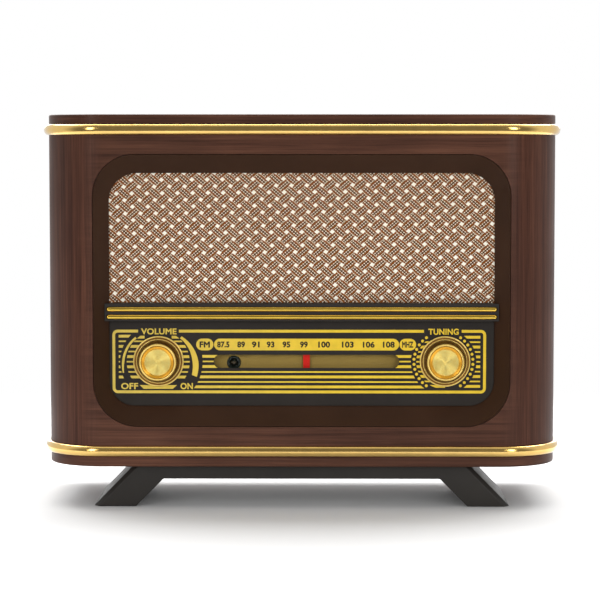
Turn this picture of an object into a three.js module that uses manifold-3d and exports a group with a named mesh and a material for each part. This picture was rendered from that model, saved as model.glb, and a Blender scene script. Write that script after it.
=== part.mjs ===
// A tabletop radio with a rounded wooden cabinet, built as separate pieces.
// Millimetres. X runs to the right as seen from the front, Y to the back and Z up from the table.
// Pieces are drawn with y = 0 at the cabinet's front face. The last group moves the whole radio
// so that the origin is on the table under the middle of its outline.

import * as THREE from 'three';
import { mergeVertices } from 'three/addons/utils/BufferGeometryUtils.js';
import Module from 'manifold-3d';

const wasm = await Module();
wasm.setup();

// ---------------------------------------------------------------- driving dimensions

const GAP = 0.3; // left between pieces that fit against each other
const SLIP = 0.1; // radial clearance of a shaft in its hole
const ROUND = 20; // sides of a round piece
const LARGE_ROUND = 28; // sides of a large round piece

// Wooden cabinet
const WIDTH = 300;
const DEPTH = 115.3; // front face to the back of the rear cover
const BASE_Z = 24.7;
const TOP_Z = 230.2;
const BASE_BOARD = 6.3;
const TOP_BOARD = 8.2;
const CORNER_R = 34;
const WALL = 9;
const FRONT_WALL = 14.5;
const COVER = 3;
const SHELL_Z0 = BASE_Z + BASE_BOARD + GAP;
const SHELL_Z1 = TOP_Z - TOP_BOARD - GAP;
const SHELL_BACK = DEPTH - COVER - GAP;

// Half-round trim bands over the joints of the shell with the two boards
const TRIM_HEIGHT = 6.5;
const TRIM_PROUD = 3;
const TRIM_TOP_Z = 221.45;
const TRIM_BOTTOM_Z = 33.95;

// Front recess: an opening in the front wall, lined by a bevelled bezel
const OPENING = { half: 121.6, z0: 48.2, z1: 207.2, top: 24.6, bottom: 26.2 };
const RECESS = { half: 113, z0: 59.3, z1: 196.1, top: 16.6, bottom: 14.8 };
const RECESS_DEPTH = 12;
const BEZEL_BACK = 12.5;
const BEHIND_LIP = 1.6; // how far the dial plate and the cloth run behind the bezel's lip

// Board behind the front wall that carries the dial, the cloth and the speaker
const BOARD = { half: 128, z0: 42, z1: 214 };
const BOARD_Y0 = FRONT_WALL + GAP;
const BOARD_Y1 = BOARD_Y0 + 4;
const BOARD_REAR = BOARD_Y1 + GAP;

// Divider bar between the cloth and the dial, with two rods
const BAR_Z0 = 109.4;
const BAR_Z1 = 119.8;
const BAR_FRONT = 8;
const ROD_R = 1.4;
const ROD_ZS = { lower: 112.0, upper: 116.5 };

// Dial
const DIAL_Y0 = 12.8;
const DIAL_Y1 = 14.4;
const CLOTH_Y0 = 13.4;
const WINDOW = { x: 2.8, z: 85.4, half: 54.35, halfHeight: 3.92 };
const LAMP = { x: -40.1, z: 84.1, hole: 4.2 };
const POINTER_WIDTH = 4;

// Knobs and their shafts
const KNOB_X = 84.2;
const KNOB_Z = 85.6;
const KNOB_BACK = 12.4;
const KNOB_FRONT = 3;
const FLANGE_R = 14.85;
const GRIP_R = 12.6;
const CAP_R = 10.35;
const DISH_R = 9.4;
const SHAFT_R = 3;
const BUSHING_R = 4.4;

// Tuning drive: the cord runs round the spindle, the drum and one idler in one plane
const CORD_R = 0.4;
const CORD_SEAT = 0.35; // from the cord down to the floor of a groove
const CORD_Y = 37;
const DRUM = { x: -70, z: 66, r: 31.2 };
const IDLER = { x: 66, r: 5 };
IDLER.z = DRUM.z + DRUM.r - IDLER.r;
const IDLER_PIN_R = 1.9;
const SPINDLE = { x: KNOB_X, z: KNOB_Z, r: 3.2 };
const RUN_Z = DRUM.z + DRUM.r;
const RAIL = { y: 33, z: 101.4, r: 1.5 };
const CHASSIS_Y0 = 42;
const CHASSIS_Y1 = 43.2;

// Speaker
const SPEAKER_Z = 158.3;
const SPEAKER_HOLE = 46;
const SPEAKER_RIM = 51.5;
const SPEAKER_SCREWS = 41;
const BASKET_BACK = 46;

// Telescopic aerial, folded across the back
const AERIAL = { x: 112, y: 123.8, z: 203 };
const MAST_R = 3.5;
const MAST_LENGTH = 150;
const TUBE_WALL = 0.45;
const SECTION_RS = [2.9, 2.3, 1.7];

// Foot bracket
const FOOT = {
  front: 8, depth: 72, floor: 0.3, outer: 122.4, inner: 97.4, top: 98.9, arch: 81.3, archZ: 16.5,
};
const BRACKET_WALL = 2.7;
const PAD_HEIGHT = 1.2;
const BRACKET_SCREW = { x: 60, y: 44 };

const REAR_SCREWS = { x: WIDTH / 2 - WALL / 2, zs: [45, 208] };
const INLET = { x: 100, z: 52, halfWidth: 11, halfHeight: 8 };
const SCREW_R = 1.4;
const SCREW_HOLE_R = 1.6;

// ---------------------------------------------------------------- materials

const finish = (color, roughness, metalness) =>
  new THREE.MeshStandardMaterial({ color, roughness, metalness });

const wood = finish(0x50342a, 0.45, 0);
const bezelBrown = finish(0x3a271b, 0.6, 0);
const gold = finish(0xe6c46a, 0.25, 1);
const clothTan = finish(0xa3886c, 0.9, 0);
const blackPlastic = finish(0x2c2825, 0.5, 0);
const tan = finish(0x87713c, 0.7, 0);
const red = finish(0xbb211c, 0.5, 0);
const clear = finish(0xe8e8e0, 0.1, 0);
const steel = finish(0x9a9a98, 0.4, 1);
const rubber = finish(0x1c1c1c, 0.9, 0);
const board = finish(0x6b4a2c, 0.8, 0);
const paper = finish(0x232221, 0.9, 0);
const green = finish(0x1f4a2c, 0.6, 0);
const cordWhite = finish(0xd8d2c0, 0.8, 0);
const chrome = finish(0xd0d0d0, 0.15, 1);

// ---------------------------------------------------------------- solids

// Turns a closed geometry into a solid: shared corners are merged and flat slivers dropped.
function solid(geometry) {
  geometry.deleteAttribute('normal');
  geometry.deleteAttribute('uv');
  const merged = mergeVertices(geometry, 1e-4);
  const corners = merged.index.array;
  const triangles = [];
  for (let i = 0; i < corners.length; i += 3) {
    const [a, b, c] = corners.slice(i, i + 3);
    if (a !== b && b !== c && c !== a) triangles.push(a, b, c);
  }
  return new wasm.Manifold(new wasm.Mesh({
    numProp: 3,
    vertProperties: new Float32Array(merged.attributes.position.array),
    triVerts: new Uint32Array(triangles),
  }));
}

const union = (...solids) => solids.reduce((whole, piece) => whole.add(piece));
const cut = (body, ...tools) => tools.reduce((rest, tool) => rest.subtract(tool), body);

function box(x0, x1, y0, y1, z0, z1) {
  const geometry = new THREE.BoxGeometry(x1 - x0, y1 - y0, z1 - z0);
  return solid(geometry.translate((x0 + x1) / 2, (y0 + y1) / 2, (z0 + z1) / 2));
}

// A round bar along Y, X or Z.
function rodY(r, y0, y1, x = 0, z = 0, sides = ROUND) {
  const geometry = new THREE.CylinderGeometry(r, r, y1 - y0, sides);
  return solid(geometry.translate(x, (y0 + y1) / 2, z));
}

function rodX(r, x0, x1, y, z, sides = ROUND) {
  const geometry = new THREE.CylinderGeometry(r, r, x1 - x0, sides).rotateZ(Math.PI / 2);
  return solid(geometry.translate((x0 + x1) / 2, y, z));
}

function rodZ(r, z0, z1, x, y, sides = ROUND) {
  const geometry = new THREE.CylinderGeometry(r, r, z1 - z0, sides).rotateX(Math.PI / 2);
  return solid(geometry.translate(x, y, (z0 + z1) / 2));
}

// Turns a closed outline of [radius, y] points about the Y axis.
function turned(outline, sides = ROUND) {
  const points = outline.map(([r, y]) => new THREE.Vector2(r, y));
  if (THREE.ShapeUtils.area(points) < 0) points.reverse();
  const onAxis = points.findIndex((point, i) => point.x === 0 && points.at(i - 1).x === 0);
  const ordered = onAxis < 0 ? points : [...points.slice(onAxis), ...points.slice(0, onAxis)];
  if (onAxis < 0) ordered.push(ordered[0].clone());
  return solid(new THREE.LatheGeometry(ordered, sides));
}

// A flat shape drawn in X and Z, given thickness along Y.
function slabY(shape, y0, y1, curveSegments = 6) {
  const geometry = new THREE.ExtrudeGeometry(shape, { depth: y1 - y0, bevelEnabled: false, curveSegments });
  return solid(geometry.rotateX(Math.PI / 2).translate(0, y1, 0));
}

// A flat shape drawn in X and Y, given thickness along Z.
function slabZ(shape, z0, z1, curveSegments = 8) {
  const geometry = new THREE.ExtrudeGeometry(shape, { depth: z1 - z0, bevelEnabled: false, curveSegments });
  return solid(geometry.translate(0, 0, z0));
}

const polygon = (points) => new THREE.Shape(points.map(([x, y]) => new THREE.Vector2(x, y)));

// A rectangle with rounded corners, with one radius for the top pair and one for the bottom pair.
function roundedRect(x0, x1, z0, z1, top, bottom = top) {
  const shape = new THREE.Shape();
  const corners = [[x1, z0, bottom], [x1, z1, top], [x0, z1, top], [x0, z0, bottom]];
  corners.forEach(([x, z, r], i) => {
    const [inX, inZ] = [x === x1 ? x - r : x + r, z === z1 ? z - r : z + r];
    const start = (i - 1) * (Math.PI / 2);
    const begin = [inX + r * Math.cos(start), inZ + r * Math.sin(start)];
    if (i === 0) shape.moveTo(...begin);
    else shape.lineTo(...begin);
    if (r > 0) shape.absarc(inX, inZ, r, start, start + Math.PI / 2);
  });
  shape.closePath();
  return shape;
}

const framed = (f, grow = 0) =>
  roundedRect(-f.half - grow, f.half + grow, f.z0 - grow, f.z1 + grow, f.top + grow, f.bottom + grow);

// A slot with round ends, drawn in X and Z.
const stadium = (x, z, half, halfHeight) =>
  roundedRect(x - half, x + half, z - halfHeight, z + halfHeight, halfHeight * 0.999);

// A straight-sided solid between two outlines with the same number of points, at two depths.
function loftY(outlineA, yA, outlineB, yB) {
  const count = outlineA.length;
  const positions = [];
  outlineA.forEach((p) => positions.push(p.x, yA, p.y));
  outlineB.forEach((p) => positions.push(p.x, yB, p.y));
  const index = [];
  for (let i = 0; i < count; i++) {
    const j = (i + 1) % count;
    index.push(i, count + j, j, i, count + i, count + j);
  }
  THREE.ShapeUtils.triangulateShape(outlineA, []).forEach(([a, b, c]) => index.push(a, b, c));
  THREE.ShapeUtils.triangulateShape(outlineB, []).forEach(([a, b, c]) =>
    index.push(count + c, count + b, count + a));
  const geometry = new THREE.BufferGeometry();
  geometry.setAttribute('position', new THREE.Float32BufferAttribute(positions, 3));
  geometry.setIndex(index);
  return solid(geometry);
}

// The outline's points, without the repeats where one stretch ends and the next starts.
const outlinePoints = (shape, divisions) => shape.getPoints(divisions)
  .filter((point, i, points) => point.distanceTo(points.at(i - 1)) > 1e-6);

// ---------------------------------------------------------------- scene helpers

function put(group, name, body, material, position = [0, 0, 0]) {
  const { vertProperties, triVerts, numProp } = body.getMesh();
  const geometry = new THREE.BufferGeometry();
  const positions = new Float32Array((vertProperties.length / numProp) * 3);
  for (let i = 0; i < positions.length / 3; i++) {
    positions.set(vertProperties.subarray(i * numProp, i * numProp + 3), i * 3);
  }
  geometry.setAttribute('position', new THREE.BufferAttribute(positions, 3));
  geometry.setIndex(new THREE.BufferAttribute(new Uint32Array(triVerts), 1));
  geometry.computeVertexNormals();
  const mesh = new THREE.Mesh(geometry, material);
  mesh.name = name;
  mesh.position.set(...position);
  group.add(mesh);
}

// A pan-head screw along Y. Its head is behind y = 0 and its shank points forward.
const panScrew = (length) => turned([
  [0, 1.8], [2.2, 1.8], [3, 1], [3, 0], [SCREW_R, 0], [SCREW_R, -length], [0, -length]], 10);

// ---------------------------------------------------------------- cabinet

// The plan outline of the cabinet: round corners at the front and square ones at the back.
function planOutline(halfWidth, front, back, radius) {
  const shape = new THREE.Shape();
  shape.moveTo(halfWidth, back);
  shape.lineTo(-halfWidth, back);
  shape.absarc(-halfWidth + radius, front + radius, radius, Math.PI, 1.5 * Math.PI);
  shape.absarc(halfWidth - radius, front + radius, radius, -Math.PI / 2, 0);
  shape.closePath();
  return shape;
}

function cabinetShell() {
  const outside = slabZ(planOutline(WIDTH / 2, 0, SHELL_BACK, CORNER_R), SHELL_Z0, SHELL_Z1, 10);
  const inside = slabZ(
    planOutline(WIDTH / 2 - WALL, FRONT_WALL, SHELL_BACK + 1, 8), SHELL_Z0 - 1, SHELL_Z1 + 1, 3);
  const opening = slabY(framed(OPENING), -1, FRONT_WALL + 1, 8);
  const screwHoles = [];
  for (const side of [-1, 1]) {
    for (const z of REAR_SCREWS.zs) {
      screwHoles.push(rodY(SCREW_HOLE_R, SHELL_BACK - 13, SHELL_BACK + 1, side * REAR_SCREWS.x, z, 8));
    }
  }
  return cut(outside, inside, opening, ...screwHoles);
}

const boardSlab = (z0, z1) => slabZ(planOutline(WIDTH / 2, 0, DEPTH, CORNER_R), z0, z1, 10);

const topBoard = () => boardSlab(TOP_Z - TOP_BOARD, TOP_Z);

function baseBoard() {
  const plate = boardSlab(BASE_Z, BASE_Z + BASE_BOARD);
  const { x, y } = BRACKET_SCREW;
  return cut(plate, ...[-x, x].map((at) =>
    rodZ(SCREW_HOLE_R, BASE_Z - 1, BASE_Z + BASE_BOARD - 1, at, y, 8)));
}

// A band with a half-round face that runs round the front and both sides.
function trimBand(middle) {
  const bevel = TRIM_HEIGHT / 2 - 0.15;
  const disc = new THREE.ExtrudeGeometry(planOutline(WIDTH / 2, 0, DEPTH, CORNER_R), {
    depth: TRIM_HEIGHT - 2 * bevel,
    bevelThickness: bevel,
    bevelSize: TRIM_PROUD,
    bevelSegments: 3,
    curveSegments: 7,
  });
  const rounded = solid(disc.translate(0, 0, middle - TRIM_HEIGHT / 2 + bevel));
  const [z0, z1] = [middle - TRIM_HEIGHT, middle + TRIM_HEIGHT];
  const core = slabZ(planOutline(WIDTH / 2 + 0.2, -0.2, DEPTH + 9, CORNER_R + 0.2), z0, z1, 10);
  return cut(rounded, core, box(-WIDTH, WIDTH, SHELL_BACK, DEPTH + 9, z0, z1));
}

function recessBezel() {
  const corners = 6;
  const block = slabY(framed(OPENING, -GAP), GAP, BEZEL_BACK, corners);
  const front = outlinePoints(framed(OPENING, -0.8), corners);
  const lip = outlinePoints(framed(RECESS), corners);
  return cut(block,
    loftY(front, GAP - 0.01, lip, RECESS_DEPTH),
    slabY(framed(RECESS), RECESS_DEPTH - 0.01, BEZEL_BACK + 1, corners));
}

const screwGrid = [[-1, -1], [-1, 1], [1, -1], [1, 1]];

function subFrontBoard() {
  const plate = box(-BOARD.half, BOARD.half, BOARD_Y0, BOARD_Y1, BOARD.z0, BOARD.z1);
  const [front, back] = [BOARD_Y0 - 1, BOARD_Y1 + 1];
  const pointerSlot = box(WINDOW.x - WINDOW.half - 4, WINDOW.x + WINDOW.half + 4, front, back, 79, 100);
  return cut(plate,
    rodY(SPEAKER_HOLE, front, back, 0, SPEAKER_Z, LARGE_ROUND),
    pointerSlot,
    rodY(BUSHING_R + SLIP, front, back, -KNOB_X, KNOB_Z),
    rodY(BUSHING_R + SLIP, front, back, KNOB_X, KNOB_Z),
    ...screwGrid.map(([sx, sz]) =>
      rodY(SCREW_HOLE_R, front, back, sx * SPEAKER_SCREWS, SPEAKER_Z + sz * SPEAKER_SCREWS, 8)));
}

function grilleCloth() {
  const r = RECESS.top + BEHIND_LIP;
  const half = RECESS.half + BEHIND_LIP;
  const sheet = roundedRect(-half, half, BAR_Z1 + GAP, RECESS.z1 + BEHIND_LIP, r, 0);
  return slabY(sheet, CLOTH_Y0, DIAL_Y1);
}

function dividerBar() {
  const slope = (OPENING.half - RECESS.half) / RECESS_DEPTH;
  const half = RECESS.half - GAP;
  const frontHalf = half + slope * (RECESS_DEPTH - BAR_FRONT);
  const plan = polygon([
    [-half, DIAL_Y1], [-half, RECESS_DEPTH], [-frontHalf, BAR_FRONT],
    [frontHalf, BAR_FRONT], [half, RECESS_DEPTH], [half, DIAL_Y1]]);
  return slabZ(plan, BAR_Z0, BAR_Z1);
}

// A half-round rod with round ends, lying along X with its flat at y = 0.
function goldRod() {
  const length = 2 * RECESS.half + 3.2 - 2 * ROD_R;
  const capsule = solid(new THREE.CapsuleGeometry(ROD_R, length, 4, 12).rotateZ(Math.PI / 2));
  return cut(capsule, box(-WIDTH, WIDTH, 0, 9, -9, 9));
}

function dialPlate() {
  const half = RECESS.half + BEHIND_LIP;
  const outline = roundedRect(
    -half, half, RECESS.z0 - BEHIND_LIP, BAR_Z0 - GAP, 0, RECESS.bottom + BEHIND_LIP);
  const [front, back] = [DIAL_Y0 - 1, DIAL_Y1 + 1];
  return cut(slabY(outline, DIAL_Y0, DIAL_Y1),
    slabY(stadium(WINDOW.x, WINDOW.z, WINDOW.half, WINDOW.halfHeight), front, back),
    rodY(BUSHING_R + GAP, front, back, -KNOB_X, KNOB_Z),
    rodY(BUSHING_R + GAP, front, back, KNOB_X, KNOB_Z));
}

// A clear strip behind the slot of the dial plate.
const dialWindow = () => slabY(
  stadium(WINDOW.x, WINDOW.z, WINDOW.half + 2.5, WINDOW.halfHeight + 2), DIAL_Y1 + GAP, DIAL_Y1 + 1.1);

// The lamp stands in a ring that fills the backplate's hole.
const lampHolder = () => turned([[2.4, 18.6], [4, 18.6], [4, 24], [2.4, 24]], ROUND);
const dialLamp = () => turned([[0, 18.4], [1.3, 18.7], [2.1, 20], [2.1, 27], [0, 27]], 16);

function dialBackplate() {
  const plate = box(WINDOW.x - 63, WINDOW.x + 63, BOARD_REAR, BOARD_REAR + 1, 75, 94.3);
  return cut(plate, rodY(LAMP.hole, 0, DEPTH, LAMP.x, LAMP.z));
}

// The rear cover has slots behind the speaker, an aerial hole and an inlet hole.
function rearCover() {
  const half = WIDTH / 2 - GAP;
  const plate = box(-half, half, DEPTH - COVER, DEPTH, SHELL_Z0, SHELL_Z1);
  const [front, back] = [DEPTH - COVER - 1, DEPTH + 1];
  const slots = [];
  for (let i = -4; i <= 4; i++) {
    slots.push(box(i * 10 - 2, i * 10 + 2, front, back, 128, 186));
    slots.push(box(i * 10 - 2, i * 10 + 2, front, back, 58, 84));
  }
  const screwHoles = [];
  for (const side of [-1, 1]) {
    for (const z of REAR_SCREWS.zs) {
      screwHoles.push(rodY(SCREW_HOLE_R, front, back, side * REAR_SCREWS.x, z, 8));
    }
  }
  return cut(plate, ...slots, ...screwHoles,
    rodY(3.7, front, back, AERIAL.x, AERIAL.z),
    box(INLET.x - 9.3, INLET.x + 9.3, front, back, INLET.z - 6.3, INLET.z + 6.3));
}

// ---------------------------------------------------------------- foot bracket

// The bracket's front outline, from one splayed leg over the bar to the other.
function bracketOutline() {
  const { outer, inner, top, arch, archZ, floor } = FOOT;
  const right = [[inner, floor], [outer, floor], [top, BASE_Z - GAP]];
  const left = right.map(([x, z]) => [-x, z]).reverse();
  return polygon([[arch, archZ], ...right, ...left, [-arch, archZ]]);
}

// The bracket is a tray, open at the top, that the base board closes.
function footBracket() {
  const { front, depth, outer, inner, top, arch, archZ } = FOOT;
  const w = BRACKET_WALL;
  const body = slabY(bracketOutline(), front, front + depth);
  const right = [[inner + 1.1, w + 0.5], [outer - 2.6 * w, w + 0.5], [top - 1.4 * w, BASE_Z + 1]];
  const left = right.map(([x, z]) => [-x, z]).reverse();
  const hollow = polygon([[arch + 1.1, archZ + w], ...right, ...left, [-arch - 1.1, archZ + w]]);
  const cavity = slabY(hollow, front + w, front + depth - w);
  const bosses = [];
  const holes = [];
  for (const side of [-1, 1]) {
    const x = side * BRACKET_SCREW.x;
    bosses.push(rodZ(4.5, archZ + w / 2, BASE_Z - GAP, x, BRACKET_SCREW.y, 12));
    holes.push(rodZ(SCREW_HOLE_R, archZ - 1, BASE_Z, x, BRACKET_SCREW.y, 8));
    holes.push(rodZ(3.3, archZ - 1, archZ + 2.2, x, BRACKET_SCREW.y, 12));
    const [padIn, padOut] = [side * (inner + 2), side * (outer - 2)].sort((a, b) => a - b);
    holes.push(box(padIn, padOut, front + 4, front + depth - 4, -1, PAD_HEIGHT + GAP));
  }
  return cut(union(cut(body, cavity), ...bosses), ...holes);
}

const footPad = () => box(
  FOOT.inner + 2 + SLIP, FOOT.outer - 2 - SLIP,
  FOOT.front + 4 + SLIP, FOOT.front + FOOT.depth - 4 - SLIP, 0, PAD_HEIGHT);

// ---------------------------------------------------------------- knobs and shafts

// A knob body: a thin flange, a tapered grip and a rim round a recess for the cap.
const knobBody = () => turned([
  [SHAFT_R + SLIP, KNOB_BACK], [FLANGE_R, KNOB_BACK], [FLANGE_R, KNOB_BACK - 1.6],
  [GRIP_R + 0.4, KNOB_BACK - 2.2], [GRIP_R, KNOB_BACK - 3], [CAP_R + 0.3, KNOB_FRONT + 0.8],
  [CAP_R, KNOB_FRONT], [DISH_R + GAP, KNOB_FRONT], [DISH_R + GAP, KNOB_FRONT + 2],
  [SHAFT_R + SLIP, KNOB_FRONT + 2]], LARGE_ROUND);

// The cap: a thin disc with a dished face.
const knobCap = () => turned([
  [0, KNOB_FRONT + 1.7], [DISH_R, KNOB_FRONT + 1.7], [DISH_R, KNOB_FRONT + 0.2],
  [7.8, KNOB_FRONT + 1.0], [0, KNOB_FRONT + 1.2]], LARGE_ROUND);

const SHAFT_TIP = KNOB_FRONT + 2.3;

const volumeShaft = () => turned([[0, SHAFT_TIP], [SHAFT_R, SHAFT_TIP], [SHAFT_R, 24], [0, 24]]);

const potentiometer = () => union(
  cut(
    union(rodY(11.5, BOARD_REAR, 30), rodY(BUSHING_R, DIAL_Y0 + 0.1, BOARD_REAR + 1)),
    rodY(SHAFT_R + SLIP, 0, 24.5)),
  box(-8, 8, BOARD_REAR + 2, BOARD_REAR + 3.2, -18, -9));

const tuningBushing = () => turned([
  [SHAFT_R + SLIP, DIAL_Y0 + 0.1], [BUSHING_R, DIAL_Y0 + 0.1], [BUSHING_R, BOARD_REAR],
  [6.5, BOARD_REAR], [6.5, BOARD_REAR + 2], [SHAFT_R + SLIP, BOARD_REAR + 2]]);

const SPINDLE_GROOVE = SPINDLE.r - CORD_R - CORD_SEAT;

const tuningSpindle = () => turned([
  [0, SHAFT_TIP], [SHAFT_R, SHAFT_TIP], [SHAFT_R, CORD_Y - 3.5], [4.2, CORD_Y - 3.5],
  [4.2, CORD_Y - 2.7], [SPINDLE_GROOVE, CORD_Y - 2.2], [SPINDLE_GROOVE, CORD_Y + 2.2],
  [4.2, CORD_Y + 2.7], [4.2, CORD_Y + 3.5], [2, CORD_Y + 3.5], [2, CHASSIS_Y1 + 2], [0, CHASSIS_Y1 + 2]]);

// ---------------------------------------------------------------- tuning drive

// A grooved wheel about Y whose groove lets the cord run at the given radius.
const pulley = (cordRadius, lip, bore, halfWidth, sides) => turned([
  [bore, -halfWidth], [cordRadius + lip, -halfWidth], [cordRadius + lip, -halfWidth + 0.8],
  [cordRadius - CORD_R - CORD_SEAT, -0.6], [cordRadius - CORD_R - CORD_SEAT, 0.6],
  [cordRadius + lip, halfWidth - 0.8], [cordRadius + lip, halfWidth], [bore, halfWidth]], sides);

// The drum is lightened by round holes between its hub and its rim.
function cordDrum() {
  const holes = [];
  for (let i = 0; i < 4; i++) {
    const angle = ((i + 0.5) / 4) * 2 * Math.PI;
    holes.push(rodY(8, -9, 9, 18.5 * Math.cos(angle), 18.5 * Math.sin(angle), 10));
  }
  return cut(pulley(DRUM.r, 1.6, 3 + SLIP, 2, LARGE_ROUND), ...holes);
}

// The cord's path as straight runs and arcs, all turning clockwise as seen from the front.
// Each wheel is { x, z, r }; extraTurns adds whole turns round it.
function cordPath(wheels) {
  const points = [];
  const contact = (from, to) => {
    const across = Math.atan2(to.z - from.z, to.x - from.x);
    return across + Math.acos((from.r - to.r) / Math.hypot(to.x - from.x, to.z - from.z));
  };
  wheels.forEach((wheel, i) => {
    const arrive = contact(wheels.at(i - 1), wheel);
    const leave = contact(wheel, wheels[(i + 1) % wheels.length]);
    const turn = (((arrive - leave) % (2 * Math.PI)) + 2 * Math.PI) % (2 * Math.PI);
    const total = turn + 2 * Math.PI * wheel.extraTurns;
    const steps = Math.max(3, Math.ceil(total / wheel.step));
    for (let k = 0; k <= steps; k++) {
      const angle = arrive - (total * k) / steps;
      const shift = wheel.extraTurns * (k / steps - 0.5) * 2.4;
      points.push(new THREE.Vector3(
        wheel.x + wheel.r * Math.cos(angle), CORD_Y + shift, wheel.z + wheel.r * Math.sin(angle)));
    }
  });
  return points;
}

// A path through a list of points, with one equal step of its parameter from each to the next.
class PointPath extends THREE.Curve {
  constructor(points) {
    super();
    this.points = points;
  }

  getPointAt(t) {
    return this.points[Math.round(t * (this.points.length - 1))].clone();
  }

  getTangentAt(t) {
    const last = this.points.length - 1;
    const i = Math.round(t * last);
    return this.points[Math.min(i + 1, last)].clone().sub(this.points[Math.max(i - 1, 0)]).normalize();
  }
}

// The cord starts and ends at the carriage, half-way along the top run.
function dialCord() {
  const route = cordPath([
    { ...IDLER, extraTurns: 0, step: 0.5 },
    { ...SPINDLE, extraTurns: 1, step: 0.55 },
    { ...DRUM, extraTurns: 0, step: 0.22 },
  ]);
  const end = (side) => new THREE.Vector3(WINDOW.x + side * 0.4, CORD_Y, RUN_Z);
  const points = [end(1), ...route, end(-1)];
  const section = new THREE.Shape().absarc(0, 0, CORD_R, 0, 2 * Math.PI);
  return solid(new THREE.ExtrudeGeometry(section, {
    steps: points.length - 1, extrudePath: new PointPath(points), bevelEnabled: false, curveSegments: 6,
  }));
}

// The pointer: a blade in front of the tan plate with an arm that reaches back over its top edge.
function pointerBlade() {
  const half = POINTER_WIDTH / 2;
  return union(
    box(-half, half, 16.5, 17.5, WINDOW.z - WINDOW.halfHeight - 1, 96.6),
    box(-half, half, 16.5, 29.7, 95.3, 96.6));
}

// The carriage slides on the rail and grips the cord from below.
function pointerCarriage() {
  const block = union(
    box(-6, 6, 30, 35.4, 97.5, 105),
    box(-2, 2, 30, 35.4, 94.6, 98),
    box(-2, 2, 35, 39, 95.4, 99.4));
  return cut(block,
    rodX(RAIL.r + SLIP, -9, 9, RAIL.y, RAIL.z, 12),
    box(-9, 9, CORD_Y - 0.8, CORD_Y + 0.8, RUN_Z - 0.8, 101));
}

// A steel plate on posts that carries the idler's pin, the rail and the capacitor.
function dialChassis() {
  const posts = [[-108, 40], [-108, 103], [92, 44], [92, 103]].map(([x, z]) =>
    rodY(2.6, BOARD_REAR, CHASSIS_Y0 + 0.5, x, z, 12));
  const ears = [-63, 74].map((x) => box(x - 1, x + 1, 30.5, CHASSIS_Y0 + 0.5, 98.6, 105));
  const plate = box(-112, 96, CHASSIS_Y0, CHASSIS_Y1, 36, 107);
  return cut(
    union(plate, ...posts, ...ears, rodY(IDLER_PIN_R, CORD_Y - 3, CHASSIS_Y0 + 0.5, IDLER.x, IDLER.z)),
    rodX(RAIL.r + SLIP, -70, 80, RAIL.y, RAIL.z, 12),
    rodY(2 + SLIP, CHASSIS_Y0 - 1, CHASSIS_Y1 + 1, SPINDLE.x, SPINDLE.z),
    rodY(6, CHASSIS_Y0 - 1, CHASSIS_Y1 + 1, DRUM.x, DRUM.z));
}

// Variable capacitor: a frame with fixed vanes, and a rotor whose half-round vanes mesh with them.
const CAPACITOR_Y0 = CHASSIS_Y1 + GAP;
const CAPACITOR_LENGTH = 22;
const VANE_PITCH = 3.2;

function capacitorFrame() {
  const [y0, y1] = [CAPACITOR_Y0, CAPACITOR_Y0 + CAPACITOR_LENGTH];
  const outer = box(-17, 17, y0, y1, -17, 17);
  const cavity = box(-15.5, 15.5, y0 + 1.5, y1 - 1.5, -15.5, 18);
  const fixed = [];
  for (let i = 0; i < 5; i++) {
    const y = y0 + 3.6 + i * VANE_PITCH;
    fixed.push(cut(box(4.4, 16, y, y + 0.8, -14, 14), rodY(4, 0, DEPTH)));
  }
  return cut(union(cut(outer, cavity), ...fixed), rodY(3.3, y0 - 1, y1 + 1));
}

function capacitorRotor() {
  const shaft = rodY(3, CORD_Y - 4, CAPACITOR_Y0 + CAPACITOR_LENGTH + 1);
  const vanes = [];
  for (let i = 0; i < 4; i++) {
    const y = CAPACITOR_Y0 + 3.6 + 0.8 + 0.8 + i * VANE_PITCH;
    vanes.push(rodY(13, y, y + 0.8, 0, 0, ROUND).subtract(box(-14, 14, 0, DEPTH, 0, 14)));
  }
  return union(shaft, ...vanes);
}

// ---------------------------------------------------------------- speaker and electrics

// The basket's rim is a square plate with rounded corners; its back is a cup with a hole.
function speakerBasket() {
  const rim = slabY(roundedRect(-46, 46, -46, 46, 9), BOARD_REAR, BOARD_REAR + 1.4);
  const round = rodY(SPEAKER_RIM, BOARD_REAR, BOARD_REAR + 1.4, 0, 0, LARGE_ROUND);
  const cup = turned([
    [SPEAKER_HOLE - 2, BOARD_REAR + 0.2], [SPEAKER_HOLE, BOARD_REAR + 0.2], [SPEAKER_HOLE - 1, 28],
    [26, BASKET_BACK], [12, BASKET_BACK], [12, BASKET_BACK - 1.5], [25, BASKET_BACK - 1.5],
    [SPEAKER_HOLE - 2.6, 27.5]], LARGE_ROUND);
  return cut(union(rim, round),
    rodY(SPEAKER_HOLE - 2.5, 0, DEPTH, 0, 0, LARGE_ROUND),
    ...screwGrid.map(([sx, sz]) =>
      rodY(SCREW_HOLE_R, 0, DEPTH, sx * SPEAKER_SCREWS, sz * SPEAKER_SCREWS, 8))).add(cup);
}

const speakerCone = () => turned([
  [SPEAKER_HOLE - 3, BOARD_REAR + 0.6], [SPEAKER_HOLE - 5, BOARD_REAR - 1.2], [38, BOARD_REAR + 0.4],
  [12, 36], [10.5, 42], [9.8, 42], [9, 36], [0, 33.4], [0, 32.9], [11.5, 35],
  [38, BOARD_REAR - 0.4], [SPEAKER_HOLE - 5, BOARD_REAR - 2], [SPEAKER_HOLE - 3, BOARD_REAR]], LARGE_ROUND);

const speakerMagnet = () => union(
  rodY(24, BASKET_BACK + GAP, BASKET_BACK + 2.3, 0, 0, ROUND),
  rodY(30, BASKET_BACK + 2, BASKET_BACK + 13, 0, 0, ROUND),
  rodY(22, BASKET_BACK + 12.5, BASKET_BACK + 15.5, 0, 0, ROUND));

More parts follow.
